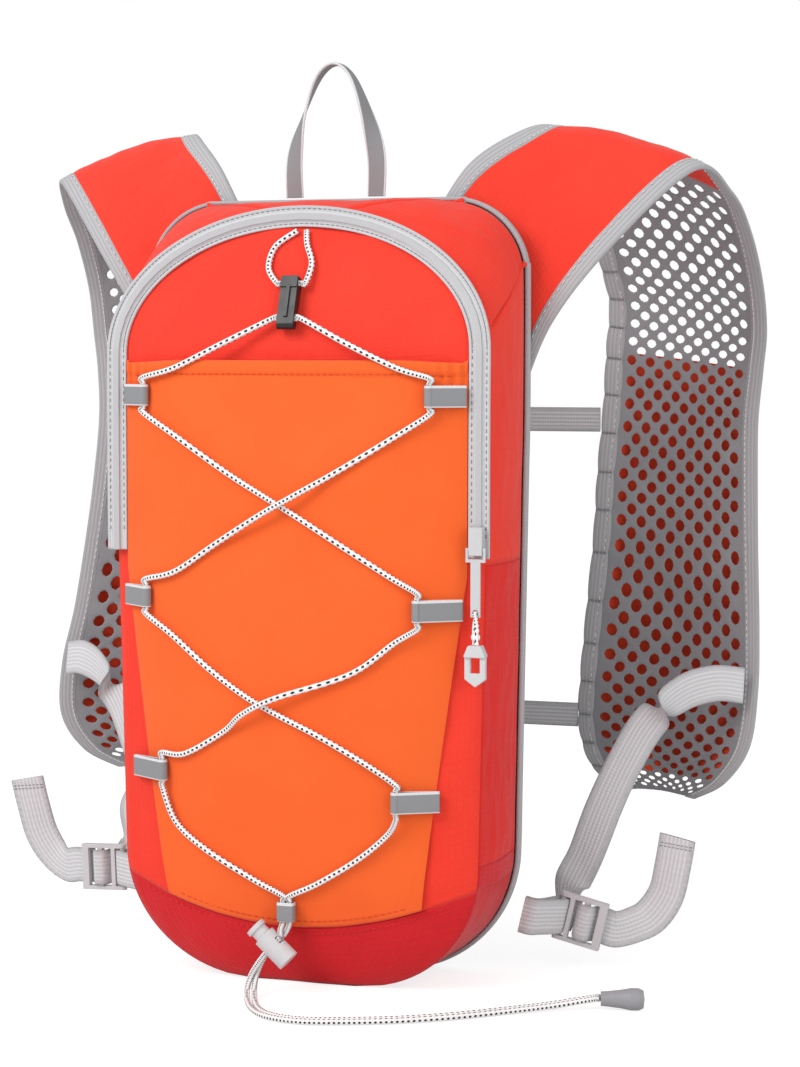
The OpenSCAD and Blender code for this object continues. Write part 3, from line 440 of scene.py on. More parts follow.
# %% Braided cord, plastics and metal
cord_white, tree, shader = principled("flecked_elastic_cord", "#F4F4F4", 0.7, Sheen_Weight=0.1)
uv = add(tree, "ShaderNodeTexCoord").outputs["UV"]
split = add(tree, "ShaderNodeSeparateXYZ", {0: uv})
round_turns = sums(tree, "MULTIPLY", split.outputs["X"], 2 * 2 * math.pi / (9.2 * MM))
along_turns = sums(tree, "MULTIPLY", split.outputs["Y"], 2 * math.pi / (3.6 * MM))
one = add(tree, "ShaderNodeMath", {0: sums(tree, "ADD", along_turns, round_turns)}, operation="SINE")
two = add(tree, "ShaderNodeMath", {0: sums(tree, "SUBTRACT", along_turns, round_turns)}, operation="SINE")
fleck = sums(tree, "GREATER_THAN", sums(tree, "MULTIPLY", one.outputs[0], two.outputs[0]), 0.42)
tinted(tree, shader, "#F4F4F4", "#232325", fleck)
braid = sums(tree, "MULTIPLY", add(tree, "ShaderNodeMath", {0: one.outputs[0]}, operation="ABSOLUTE").outputs[0],
             add(tree, "ShaderNodeMath", {0: two.outputs[0]}, operation="ABSOLUTE").outputs[0])
bump = add(tree, "ShaderNodeBump", {"Height": braid, "Distance": 0.25 * MM, "Strength": 0.8})
tree.links.new(bump.outputs[0], shader.inputs["Normal"])


def moulded(name, hex_colour, roughness=0.42, grain=0.03, metal=0.0):
    """Injection-moulded plastic, or cast metal: a fine spark-eroded grain breaks the shine."""
    made, tree, shader = principled(name, hex_colour, roughness, Metallic=metal)
    place = add(tree, "ShaderNodeTexCoord").outputs["Object"]
    fine = add(tree, "ShaderNodeTexNoise", {"Vector": place, "Scale": 1400.0, "Detail": 2.0}).outputs["Fac"]
    worn = add(tree, "ShaderNodeTexNoise", {"Vector": place, "Scale": 120.0, "Detail": 3.0}).outputs["Fac"]
    spread = add(tree, "ShaderNodeMapRange", {"Value": worn, "To Min": roughness - 0.08,
                                              "To Max": roughness + 0.1}).outputs[0]
    tree.links.new(spread, shader.inputs["Roughness"])
    bump = add(tree, "ShaderNodeBump", {"Height": fine, "Distance": grain * MM, "Strength": 0.5})
    tree.links.new(bump.outputs[0], shader.inputs["Normal"])
    return made


grey_acetal = moulded("light_grey_acetal", "#CFCFD1")
bell_acetal = moulded("mid_grey_acetal", "#97979B")
black_acetal = moulded("black_acetal", "#1D1D1F", 0.38)
dark_acetal = moulded("dark_grey_acetal", "#77777B")
painted_zinc = moulded("grey_painted_zinc", "#D2D2D4", 0.35, 0.015, 0.35)
spring_steel = moulded("bright_spring_steel", "#B8B8BC", 0.3, 0.01, 1.0)
coil_nylon = moulded("grey_coil_nylon", "#B9B9BC", 0.5)
cap_plastic = moulded("blue_cap_plastic", "#2F6FB4")
film = principled("clear_reservoir_film", "#BFD8E6", 0.25, Transmission_Weight=0.6, IOR=1.45)[0]
print("materials:", len(bpy.data.materials))

# %% [markdown]
# ## The free cords
# The two ends of the elastic leave the cord lock, drop to the floor and lie side by side in a
# loose curve to the bell that joins them. They have their whole length here, about 24 cm each.
# The route is the same list of points as the solids', in millimetres.

# %% Free cord ends
CORD_R = 1.5
PAIR = CORD_R + 0.3
FLOOR_Z = CORD_R + 0.4
tilt = math.radians(42)
lock_at = Vector((-5, -45, 26))
lock_down = Vector((-math.sin(tilt), 0, -math.cos(tilt)))
lock_in = lock_at - lock_down * 6.7
bell_at = Vector((160, -20, 5.6))
bell_way = Vector((math.cos(math.radians(14)), math.sin(math.radians(14)), 0))
tail_route = [lock_in + 0.9 * lock_down, lock_at, lock_at + lock_down * 8, (-15, -47, 11), (-13, -57, 4.5),
              (-5, -74, FLOOR_Z), (8, -88, FLOOR_Z), (26, -92, FLOOR_Z), (48, -86, FLOOR_Z),
              (72, -76, FLOOR_Z), (96, -61, FLOOR_Z), (118, -43, FLOOR_Z), (138, -30, 3),
              bell_at - bell_way * 3, bell_at]
tail_side = [(0, 1, 0), (0, 1, 0), (0, 1, 0), (0.5, 0.85, 0), (0.9, 0.4, 0), (1, 0.25, 0), (0.7, 0.8, 0),
             (0.1, 1, 0), (-0.3, 1, 0), (-0.4, 0.9, 0), (-0.6, 0.8, 0), (-0.5, 0.9, 0), (-0.4, 0.9, 0),
             (-0.2, 1, 0), (-0.2, 1, 0)]


def length_of(points, count=400):
    line = [Vector(p) for p in points]
    spots = [curve_at(line, k / count) for k in range(count + 1)]
    return sum((b - a).length for a, b in zip(spots, spots[1:]))


for letter, side in (("a", 1), ("b", -1)):
    points = [Vector(p) + side * PAIR * Vector(s).normalized() for p, s in zip(tail_route, tail_side)]
    bm = tube(None, points, CORD_R, 12, 260)
    close_ends(bm)
    piece = keep(f"free_cord_{letter}", bm, cord_white, stands_for=[f"tail_cord_{letter}"])
    print("free cord", letter, round(length_of(points)), "mm")

# %% [markdown]
# ## The shape of the bag
# Two outlines carry the whole bag: the back seam, and the rim that the zip follows. The front
# wall swells out from the rim. These rules repeat the ones that the solids were drawn with, so
# the cloth lies exactly where the solids are.

# %% Outlines and the front wall
BODY_H, CORNER, BACK_Y, RIM_Y, ARCH_Z, SEAM_Z, WALL, BULGE = 408, 68, 35, -20, 330, 222, 2, 20
BASE_HALF, TOP_HALF = 100, 105


def half_outline(foot, head, top, round_z, round_x):
    """Half of an upright outline from the middle of the base to the middle of the top, as (x, z)."""
    low = [(foot - CORNER + CORNER * math.sin(math.radians(a)), CORNER * (1 - math.cos(math.radians(a))))
           for a in range(0, 91, 10)]
    side = [(lerp(foot, head, (z - CORNER) / (300 - CORNER)), z) for z in (100, 140, 180, SEAM_Z, 265, 300)]
    high = [(head - round_x + round_x * math.cos(math.radians(a)), top - round_z + round_z * math.sin(math.radians(a)))
            for a in range(0, 91, 10)]
    return [Vector(p) for p in [(0, 0), *low, *side, *high, (0, top)]]


back_rows = half_outline(BASE_HALF + 1, TOP_HALF, BODY_H, 40, 40)
rim_rows = half_outline(BASE_HALF - 3, TOP_HALF - 3, BODY_H - 6, BODY_H - 6 - ARCH_Z, TOP_HALF - 9)
LAST = len(back_rows) - 1
BOOT_ROW, SEAM_ROW = 10, 14


def lean_y(z):
    if z > ARCH_Z:
        return RIM_Y + 15 * ((z - ARCH_Z) / (BODY_H - 6 - ARCH_Z)) ** 1.4
    return RIM_Y + 8 * (1 - z / CORNER) ** 2 if z < CORNER else RIM_Y


def rim_half(z):
    if z > ARCH_Z:
        return 6 + (TOP_HALF - 9) * math.sqrt(max(0, 1 - ((z - ARCH_Z) / (BODY_H - 6 - ARCH_Z)) ** 2))
    if z < CORNER:
        return BASE_HALF - 3 - CORNER + CORNER * math.sqrt(max(0, 1 - (1 - z / CORNER) ** 2))
    return lerp(BASE_HALF - 3, TOP_HALF - 3, min(1, (z - CORNER) / (300 - CORNER)))


def front_y(x, z):
    k = max(0, min(1, z / (BODY_H - 6)))
    swell = BULGE * max(0, math.sin(math.pi * k**0.8)) ** 0.6
    return lean_y(z) - WALL - swell * (1 - min(1, abs(x) / rim_half(z)) ** 2.6)


def crumple(x, y, z, size, amount):
    """A slow, repeatable unevenness in millimetres, with folds about that size."""
    return amount * noise.noise(Vector((x, y, z)) / size)


print("front wall stands at", round(front_y(0, 200), 1), "mm in the middle")

# %% [markdown]
# ### Side gusset and base
# One band of cloth runs round the bag between the two outlines. It is cut in three pieces:
# bright red over the top, the same red darkened at the sides as painted shade, and a coated red
# base. Each is a grid swept along the outlines. It swells a little between its seams, dips at each
# seam and crumples where it turns a corner, more so towards the base, where the cloth is slack.

# %% Gusset


def gusset_point(t, side, u, slack):
    """A place on the gusset: t along the half outline in rows, u from the rim (0) to the back seam (1)."""
    f, b = curve_at(rim_rows, t / LAST), curve_at(back_rows, t / LAST)
    way = curve_at(back_rows, min(1, (t + 0.2) / LAST)) - curve_at(back_rows, max(0, (t - 0.2) / LAST))
    out = Vector((way.y, -way.x)).normalized()
    p = f.lerp(b, u)
    y = lerp(lean_y(f.y), BACK_Y, u)
    swell = (0 if t < BOOT_ROW - 1 else 3) * math.sin(math.pi * u)
    folds = crumple(side * p.x, y * 0.5, p.y, 26, slack)
    folds += crumple(side * p.x, y * 1.5, p.y * 0.6, 11, slack * 0.45)
    edge = min(u, 1 - u) * 55
    swell += (folds - 0.3) * smooth(edge / 9) - 0.7 * (1 - smooth(edge / 3))
    return Vector((side * (p.x + out.x * swell), y, p.y + out.y * swell))


def middle_length(place, count=300):
    """Length of a cloth piece along its middle line, in millimetres."""
    spots = [Vector(place(0.5, k / count)) for k in range(count + 1)]
    return sum((b - a).length for a, b in zip(spots, spots[1:]))


def band(name, t_low, t_high, material, slot, node, slack, over=True):
    """A gusset band that runs from one side to the other, over the top or under the base."""

    def place(u, v):
        s = abs(2 * v - 1)
        t = lerp(t_high, t_low, s) if over else lerp(t_low, t_high, s)
        return gusset_point(t, 1 if v > 0.5 else -1, u, slack)

    piece = keep(name, laid_grid(place, 30, 260, inside=(0, 10, 200)), material, stands_for=[node])
    thicken(piece, 1.2)
    middle_length(place)


band("upper_gusset_cloth", SEAM_ROW, LAST, red_ripstop, "red_cloth", "upper_gusset", 1.3)
band("boot_cloth", 0, BOOT_ROW, coated_red, "boot_cloth", "boot_panel", 1.0, over=False)
bm = None
for side in (1, -1):

    def place(u, v, side=side):
        return gusset_point(lerp(BOOT_ROW, SEAM_ROW, v), side, u, 1.9)

    bm = laid_grid(place, 30, 120, inside=(0, 10, 200), bm=bm)
# the sides take the deeper red, which is painted shade
sides = thicken(keep("side_cloth", bm, side_ripstop_painted_shade, stands_for=["side_panels"]), 1.2)

2 * middle_length(place)

# %% [markdown]
# ### Front wall and base front
# The front wall is one curved sheet from the base seam up to the top of the arch. The base seam
# dips in the middle, as the cut of the boot does. Above the stretch pocket the cloth shows, so
# it gets shallow folds that run down from the arch.

# %% Front wall


def seam_height(x):
    """Height of the boot's seam on the front."""
    return 33 + 12 * (x / 68) ** 2


def front_point(s, z, fold):
    """A place on the front wall: s from -1 to 1 across, at height z."""
    x = s * rim_half(z)
    room = smooth((1 - abs(s)) * 9)
    dent = crumple(x * 1.3, 0, z * 0.8, 34, fold) + crumple(x, 5, z, 13, fold * 0.35)
    return Vector((x, front_y(x, z) - dent * room + 0.6 * (1 - smooth((1 - abs(s)) * 30)), z))


def wall_place(u, v):
    s = math.sin((2 * u - 1) * math.pi / 2)
    low = seam_height(s * 93)
    return front_point(s, lerp(low, BODY_H - 6, v), 1.2)


def boot_place(u, v):
    s = math.sin((2 * u - 1) * math.pi / 2)
    return front_point(s, v * seam_height(s * 93), 0.9)


wall = keep("front_wall_cloth", laid_grid(wall_place, 90, 180, inside=(0, 20, 200)), red_ripstop,
            stands_for=["front_panel"])
thicken(wall, 1.2)
middle_length(wall_place)
boot_front = keep("boot_front_cloth", laid_grid(boot_place, 90, 34, inside=(0, 20, 60)), coated_red)
thicken(boot_front, 1.2)
middle_length(boot_place)

# %% [markdown]
# ### Back pad and edge tape
# The back pad is foam in spacer mesh. Its face is pressed into channels that let air pass, so
# the flat grid is lifted between the channels and pulled in along them. The pad is closed: its
# front half lies flat on the bag. A folded tape covers the seam all round it.

# %% Back pad


def back_outline(t):
    """A place on the whole back outline, from the middle of the base round by the right, t 0 to 1."""
    side, f = (1, 2 * t) if t < 0.5 else (-1, 2 - 2 * t)
    p = curve_at(back_rows, f)
    return Vector((side * p.x, p.y))


def pad_point(u, v, face):
    """The pad: v round its edge, u from its middle line (0) to the edge (1)."""
    edge = back_outline(v)
    middle = Vector((0, lerp(60, 350, smooth((edge.y - 40) / 330))))
    p = middle.lerp(edge, u)
    channel = abs(math.sin(p.y * math.pi / 46 + abs(p.x) * 0.022)) ** 0.5
    spine = smooth(abs(p.x) / 9)
    lift = face * (1.2 + 4.2 * channel * spine) * smooth((1 - u) * 6)
    return Vector((p.x, BACK_Y + 0.6 + 2.2 + lift, p.y))


bm = laid_grid(lambda u, v: pad_point(u, v, 1), 48, 160, bm=None)
bm = laid_grid(lambda u, v: pad_point(u, v, -0.4), 24, 160, bm=bm)
bmesh.ops.remove_doubles(bm, verts=bm.verts, dist=5e-5)
bmesh.ops.recalc_face_normals(bm, faces=bm.faces)
pad = keep("back_pad_cover", bm, spacer, stands_for=["back_panel"])

# %% Edge tape


def tape_place(u, v):
    p, q = back_outline(v), back_outline((v + 0.002) % 1)
    way = (q - p).normalized()
    out = Vector((way.y, -way.x))
    turn = 2 * math.pi * u
    off = 0.9 + 1.3 * math.copysign(abs(math.cos(turn)) ** 0.6, math.cos(turn))
    depth = 3 * math.copysign(abs(math.sin(turn)) ** 0.6, math.sin(turn))
    return Vector((p.x + out.x * off, BACK_Y + 3 + depth, p.y + out.y * off))


keep("edge_binding_tape", laid_grid(tape_place, 12, 420, closed=True), binding_tape,
     stands_for=["edge_tape"])
print("back pad and edge tape done")

# %% [markdown]
# ## Stretch pocket
# The pocket is a trapezium of stretch cloth, sewn at its sides and foot. Its top edge is folded
# over an elastic, so the hem is thicker, stands off the wall and gathers at its two corners.

# %% Pocket
POCKET_TOP, POCKET_LOW, POCKET_FOOT, POCKET_GAP, POCKET_T, TAPE_W = 325, 34, 68, 6, 1.2, 11
ZIP_MID = TOP_HALF - 3 - TAPE_W / 2 + 2
ZIP_TOP = BODY_H - 6 - TAPE_W / 2 + 2


def pocket_half(z):
    return min(ZIP_MID - TAPE_W / 2 - 0.3, POCKET_FOOT + 0.135 * (z - POCKET_LOW))


def pocket_point(u, k, lift):
    floor_here = POCKET_LOW + 12 * u * u
    z = lerp(floor_here, POCKET_TOP, k)
    x = u * pocket_half(z)
    room = 0.3 + POCKET_GAP * (1 - u**4) * smooth(k / 0.35)
    return Vector((x, front_y(x, z) - room - lift, z))


def outer_y(x, z):
    if z > POCKET_TOP:
        return front_y(x, z)
    u = max(-1, min(1, x / pocket_half(z)))
    low = POCKET_LOW + 12 * u * u
    k = (z - low) / (POCKET_TOP - low)
    if k < 0:
        return front_y(x, z)
    return front_y(x, z) - 0.3 - POCKET_GAP * (1 - u**4) * smooth(k / 0.35) - POCKET_T


def pocket_place(u, v):
    s = math.sin((2 * u - 1) * math.pi / 2) * 0.999
    p = pocket_point(s, v, POCKET_T)
    down = (POCKET_TOP - p.z)
    hem = 0.7 * smooth(down / 1.2) * (1 - smooth((down - 6.2) / 0.9))
    hem -= 0.3 * (1 - smooth(abs(down - 7) / 1.2))
    corner = smooth((abs(s) - 0.62) / 0.35) * (1 - smooth(down / 34))
    gathers = 0.9 * corner * math.sin(p.x * 1.15) * (1 - smooth((abs(s) - 0.985) / 0.015))
    slack = smooth((1 - abs(s)) * 7) * (crumple(p.x, 0, p.z * 0.55, 30, 0.7) + crumple(p.x, 9, p.z, 12, 0.25))
    dip = 2.4 * corner * smooth((1 - abs(s)) * 30) * (1 - smooth(down / 22))
    return Vector((p.x, p.y - hem - gathers - slack, p.z - dip * 0.5))


pocket = keep("stretch_pocket_cloth", laid_grid(pocket_place, 130, 200, inside=(0, 20, 200)), orange_stretch,
              stands_for=["stretch_pocket"])
thicken(pocket, 0.9)
middle_length(pocket_place)

# %% [markdown]
# ## Stitches
# Stitches are what tells the eye that a panel is sewn. Each one is a short, flattened bead of
# six sides, turned along its seam. A seam of hundreds of stitches is still a light mesh, because
# one stitch has only a few faces.

# %% Stitches


def stitches(name, lines, out, material, body="pack", long=2.3, gap=1.2, thick=0.55):
    """Rows of stitches along lines of points; out(p) is the direction that the cloth faces."""
    bm = bmesh.new()
    for line in lines:
        spots = [Vector(p) for p in line]
        total = sum((b - a).length for a, b in zip(spots, spots[1:]))
        count = int(total / (long + gap))
        for k in range(count):
            a, b = curve_at(spots, (k + 0.15) / count), curve_at(spots, (k + 0.15) / count + long / total)
            way = (b - a).normalized()
            up = Vector(out(a)).normalized()
            side = way.cross(up).normalized()
            turn = Matrix((side, up, way)).transposed().to_4x4()
            turn.translation = ((a + b) / 2 + up * thick * 0.15) * MM
            size = Matrix.Diagonal((thick * MM, thick * 0.7 * MM, long * MM, 1))
            bmesh.ops.create_cone(bm, cap_ends=True, segments=6, radius1=0.5, radius2=0.5, depth=1,
                                  matrix=turn @ size)
    return keep(name, bm, material, body)


def on_front(x, z, off=0.0):
    return Vector((x, outer_y(x, z) - off, z))


hem_row = [on_front(x, POCKET_TOP - 7 - 1.0 * smooth((abs(x) - 60) / 30), 0.5) for x in range(-86, 87, 4)]
foot_row = [Vector((x, outer_y(x, POCKET_LOW + 12 * (x / 68) ** 2 + 3) - 0.1,
                    POCKET_LOW + 12 * (x / 68) ** 2 + 3))
            for x in range(-62, 63, 4)]
stitches("pocket_hem_stitches", [hem_row, foot_row], lambda p: (0, -1, 0), thread_orange)
boot_row = [Vector((x, front_y(x, seam_height(x) - 3) - 0.2, seam_height(x) - 3)) for x in range(-84, 85, 4)]
# the boot seam stitches take the sides' deeper red, with its painted shade
stitches("boot_seam_stitches", [boot_row], lambda p: (0, -1, 0), side_ripstop_painted_shade)

# %% [markdown]
# ## Zip
# The zip tape is a narrow strip of webbing that runs up one side, over the arch and down the
# other side. Its two edges are rolled, with a row of stitches inside each. The closed coil stays
# as the solid drew it and gets a moulded grey nylon material.

# %% Zip tape
leg_z = SEAM_Z + 4
legs = [leg_z + (ARCH_Z - leg_z) * k / 8 for k in range(8)]
zip_line = ([Vector((ZIP_MID, z, 0)) for z in legs]
            + [Vector((ZIP_MID * math.cos(math.radians(a)), ARCH_Z + (ZIP_TOP - ARCH_Z) * math.sin(math.radians(a)), 0))
               for a in range(0, 181, 6)]
            + [Vector((-ZIP_MID, z, 0)) for z in reversed(legs)])


def zip_point(v, across, lift):
    """A place on the zip: v along it, across from the middle in millimetres, lift off its bed."""
    p, way = curve_at(zip_line, v), tangent(zip_line, v)
    out = Vector((way.y, -way.x, 0))
    bed = min(front_y(p.x + out.x * k * TAPE_W / 2, p.y + out.y * k * TAPE_W / 2) for k in (-1, 0, 1))
    q = p + out * across
    return Vector((q.x, bed - 0.3 - lift, q.y))


def tape_strip(u, v):
    ring = 2 * math.pi * u
    across = (TAPE_W / 2) * math.copysign(abs(math.cos(ring)) ** 0.5, math.cos(ring))
    face = math.sin(ring) < -1e-6
    rolled = 0.5 * math.exp(-(((abs(across) - 5) / 0.6) ** 2))
    rolled += 0.25 * math.exp(-(((abs(across) - 2.4) / 0.5) ** 2))
    lift = 1.15 + rolled if face else 0.05
    return zip_point(v, across, lift)


bm = laid_grid(tape_strip, 32, 330, closed=True)
close_ends(bm)
keep("zip_tape_cloth", bm, zip_cloth, stands_for=["zip_tape"])
rows = [[zip_point(k / 120, a, 1.25) for k in range(2, 119)] for a in (-3.8, 3.8)]
stitches("zip_stitches", rows, lambda p: (0, -1, 0), thread_grey, long=1.8, gap=1.0, thick=0.45)
print("zip done")

# %% [markdown]
# ## Lacing
# Two elastic cords zigzag over the front, from the hook at the top through six webbing loops to
# the lock at the base. Where two cords cross, one is lifted over the other. The cords are tubes
# on smooth curves through the same points as their solids.

# %% Lacing route
loops = [(-79, 307), (76, 307), (-77, 203), (71, 200), (-68, 113), (60, 103)]
LOOP_BORE = CORD_R + 0.3
LOOP_R = LOOP_BORE + 0.9
BASE_Z = 43
base_y = outer_y(0, BASE_Z + 5) - LOOP_R - 0.4
HOOK_Z, HOOK_LEN = 346, 25
hook_y = front_y(0, HOOK_Z) - 5.5
hook_lean = math.atan2(front_y(0, HOOK_Z + HOOK_LEN) - 4.4 - hook_y, HOOK_LEN)


def loop_y(p):
    return outer_y(*p) - LOOP_R - 0.9


def on_cloth(x, z, lift):
    y = outer_y(x, z)
    if POCKET_TOP < z < POCKET_TOP + 26:
        y = lerp(outer_y(x, POCKET_TOP), front_y(x, z), (z - POCKET_TOP) / 26)
    return Vector((x, y - CORD_R - lift, z))


def loop_pass(p):
    return [Vector((p[0], loop_y(p), p[1] + dz)) for dz in (9, 5.6, -5.6, -9)]


def lacing_points(s):
    over, under = (4.4, 0.6) if s > 0 else (0.6, 4.4)
    return [
        Vector((0, hook_y, HOOK_Z)), Vector((s * 5, hook_y, HOOK_Z)), Vector((s * 8, hook_y, HOOK_Z - 0.2)),
        on_cloth(s * 34, 333, 1), on_cloth(s * 60, 321, 1.2), *loop_pass(loops[1] if s > 0 else loops[0]),
        on_cloth(s * 58, 286, 1), on_cloth(s * 30, 269, 0.8), on_cloth(s * 9, 257, over),
        on_cloth(-s * 9, 247, over), on_cloth(-s * 34, 232, 0.8), on_cloth(-s * 58, 217, 1),
        *loop_pass(loops[2] if s > 0 else loops[3]),
        on_cloth(-s * 60, 184, 1), on_cloth(-s * 38, 168, 0.8), on_cloth(-s * 9 - 9, 155, under),
        on_cloth(s * 9 - 9, 146, under), on_cloth(s * 26 - 4, 136, 0.8), on_cloth(s * 49 - 4, 123, 1),
        *loop_pass(loops[5] if s > 0 else loops[4]),
        on_cloth(s * 58 - 3, 86, 1), on_cloth(s * 42 - 2, 73, 0.8), on_cloth(s * 18, 59, 0.8),
        Vector((s * PAIR, base_y, BASE_Z + 8)), Vector((s * PAIR, base_y, BASE_Z + 5.2)),
        Vector((s * PAIR, base_y, BASE_Z - 5.2)),
        Vector((0, base_y, BASE_Z - 5.2)).lerp(lock_in, 0.55) + s * PAIR * Vector((0.75, 0.75, 0)),
        lock_in + Vector((0, s * PAIR, 0)),
    ]


# %% Lacing cords
for letter, s in (("a", 1), ("b", -1)):
    bm = tube(None, lacing_points(s), CORD_R, 12, 520)
    close_ends(bm)
    keep(f"lacing_cord_{letter}", bm, cord_white, stands_for=[f"lacing_{letter}"])


def in_hook(x, up):
    return Vector((x, hook_y + up * math.sin(hook_lean), HOOK_Z + up * math.cos(hook_lean)))


EYE = HOOK_LEN - 6
hook_route = [on_cloth(3.5, 391, 0.5), on_cloth(5, 384, 0.7), on_cloth(9, 374, 0.9), in_hook(7.6, EYE + 0.2),
              in_hook(4.8, EYE), in_hook(-4.8, EYE), in_hook(-7.6, EYE + 0.2), on_cloth(-14, 372, 1.2),
              on_cloth(-12, 383, 0.7), on_cloth(-1.5, 391, 0.5)]
bm = tube(None, hook_route, CORD_R, 12, 160)
close_ends(bm)
keep("hook_loop_cord", bm, cord_white, stands_for=["hook_cord"])
print("lacing done")

# %% [markdown]
# ### Webbing loops
# Each loop is one short strap of reflective webbing, folded round the cord and sewn flat into
# the side seam. It is a ribbon whose path goes out, round the cord and back. The loop at the
# base lies across, so both cords run down through it.

# %% Side loops
bm = bmesh.new()
for p in loops:
    side = math.copysign(1, p[0])
    tail_x = side * min(abs(p[0]) + 20, ZIP_MID - TAPE_W / 2 - 0.5)
    eye, end = Vector((p[0], loop_y(p), p[1])), Vector((tail_x, outer_y(tail_x, p[1]) - 2.2, p[1]))
    way = (end - eye).normalized()
    start = math.degrees(math.atan2(way.y, way.x))
    ring = [eye + 2.25 * Vector((math.cos(math.radians(start + a)), math.sin(math.radians(start + a)), 0))
            for a in range(62, 299, 26)]
    aside = Vector((-way.y, way.x, 0)) * 0.55
    first, last = end + aside, end - aside
    route = [first, first.lerp(ring[0], 0.35), first.lerp(ring[0], 0.7), *ring,
             last.lerp(ring[-1], 0.7), last.lerp(ring[-1], 0.35), last]
    ribbon(route, [(0, 0, 1), (0, 0, 1)], 11, 0.9, 90, across=9, bm=bm)
close_ends(bm)
keep("lacing_loop_webbing", bm, loop_web, stands_for=["lacing_loops"])

bm = bmesh.new()
frame_pts = [(-4.2, 0), (-4.0, -1.7), (-3.2, -2.25), (3.2, -2.25), (4.0, -1.7), (4.2, 0), (4.0, 1.7), (3.2, 2.25),
             (-3.2, 2.25), (-4.0, 1.7), (-4.2, 0.05)]
route = [Vector((x, base_y + y, BASE_Z)) for x, y in frame_pts]
ribbon(route, [(0, 0, 1), (0, 0, 1)], 10, 0.8, 90, across=9, bm=bm)
close_ends(bm)
keep("base_loop_webbing", bm, loop_web, stands_for=["bottom_loop"])
print("loops done")

# %% [markdown]
# ## Hardware
# Hooks, locks, buckles and the zip slider are hard parts, so the solids' own shapes are right.
# Moulded parts never have knife edges, though. A copy of each solid is merged, its flat faces
# joined, and every sharp edge given a small round bevel that catches the light.

# %% Softened hardware


def softened(node, body, material, width_mm):
    """A bevelled copy of a hard solid that takes its place in the picture."""
    bm = bmesh.new()
    bm.from_mesh(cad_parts[node].data)
    bmesh.ops.remove_doubles(bm, verts=bm.verts, dist=2e-6)
    bmesh.ops.dissolve_limit(bm, angle_limit=math.radians(2), verts=bm.verts, edges=bm.edges)
    sharp = [e for e in bm.edges if len(e.link_faces) == 2 and e.calc_face_angle(0) > math.radians(28)]
    bmesh.ops.bevel(bm, geom=sharp, offset=width_mm * MM, offset_type="OFFSET", segments=2, profile=0.5,
                    affect="EDGES", clamp_overlap=True, material=-1)
    bm.normal_update()
    piece = keep(node + "_moulded", bm, material, body, stands_for=[node])
    weighted = piece.modifiers.new("even shading", "WEIGHTED_NORMAL")
    weighted.keep_sharp = False
    return piece


for node, body, material, slot, width in (
    ("cord_hook", "pack", black_acetal, "black_plastic", 0.35),
    ("lock_barrel", "pack", grey_acetal, "grey_plastic", 0.4),
    ("lock_button", "lock_button", grey_acetal, "grey_plastic", 0.4),
    ("zip_slider", "slider", painted_zinc, "grey_metal", 0.25),
    ("zip_link", "zip_pull", painted_zinc, "grey_metal", 0.2),
    ("zip_pull_tab", "zip_pull", grey_acetal, "grey_plastic", 0.5),
    ("socket_upper", "pack", dark_acetal, "dark_plastic", 0.5),
    ("socket_lower", "pack", dark_acetal, "dark_plastic", 0.5),
    ("plug_upper", "plug_top", dark_acetal, "dark_plastic", 0.4),
    ("plug_lower", "plug_bottom", dark_acetal, "dark_plastic", 0.4),
    ("ladderlock_left", "adjuster_left", grey_acetal, "grey_plastic", 0.5),
    ("ladderlock_right", "adjuster_right", grey_acetal, "grey_plastic", 0.5),
):
    softened(node, body, material, width)


def repaint(node, material):
    """Gives a solid that stays in the picture its material."""
    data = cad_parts[node].data
    data.materials.clear()
    data.materials.append(material)


for node, material in (("zip_coil", coil_nylon), ("lock_spring", spring_steel), ("cord_bell", bell_acetal),
                       ("reservoir_cap", cap_plastic)):
    repaint(node, material)
print("hardware done")

# %% Pull cord
slider_z = leg_z + 9
slider_y = min(front_y(ZIP_MID + k * TAPE_W / 2, slider_z) for k in (-1, 0, 1)) - 0.3 - 1.2 - 0.12
pull_at = Vector((ZIP_MID, slider_y - 5.2, slider_z - 4))
DROP_LINK, DROP_CORD = 34, 48
pull_route = [(-1, 1.5, -DROP_CORD), (-1.2, 1.7, -DROP_CORD + 8), (-0.6, 1.9, -DROP_LINK - 1),
              (0, 1.6, -DROP_LINK + 1.6), (0, 0, -DROP_LINK + 2.4), (0, -1.6, -DROP_LINK + 1.6),
              (0.6, -1.9, -DROP_LINK - 1), (1.2, -1.7, -DROP_CORD + 8), (1, -1.5, -DROP_CORD)]
bm = tube(None, [pull_at + Vector(p) for p in pull_route], 1.1, 10, 80)
close_ends(bm)
bmesh.ops.create_icosphere(bm, subdivisions=2, radius=2.4 * MM,
                           matrix=Matrix.Translation((pull_at + Vector((0, 0, -DROP_CORD + 4))) * MM))
keep("pull_loop_cord", bm, cord_white, body="zip_pull", stands_for=["zip_pull_cord"])

# %% [markdown]
# ## Harness
# Each shoulder strap is one long piece of cloth and mesh between two bound edges. Matching
# points along its neck edge and its arm edge settle its shape; a station number runs from the
# pack's top seam (0) to the foot of the chest panel (16). The left strap mirrors the right one.

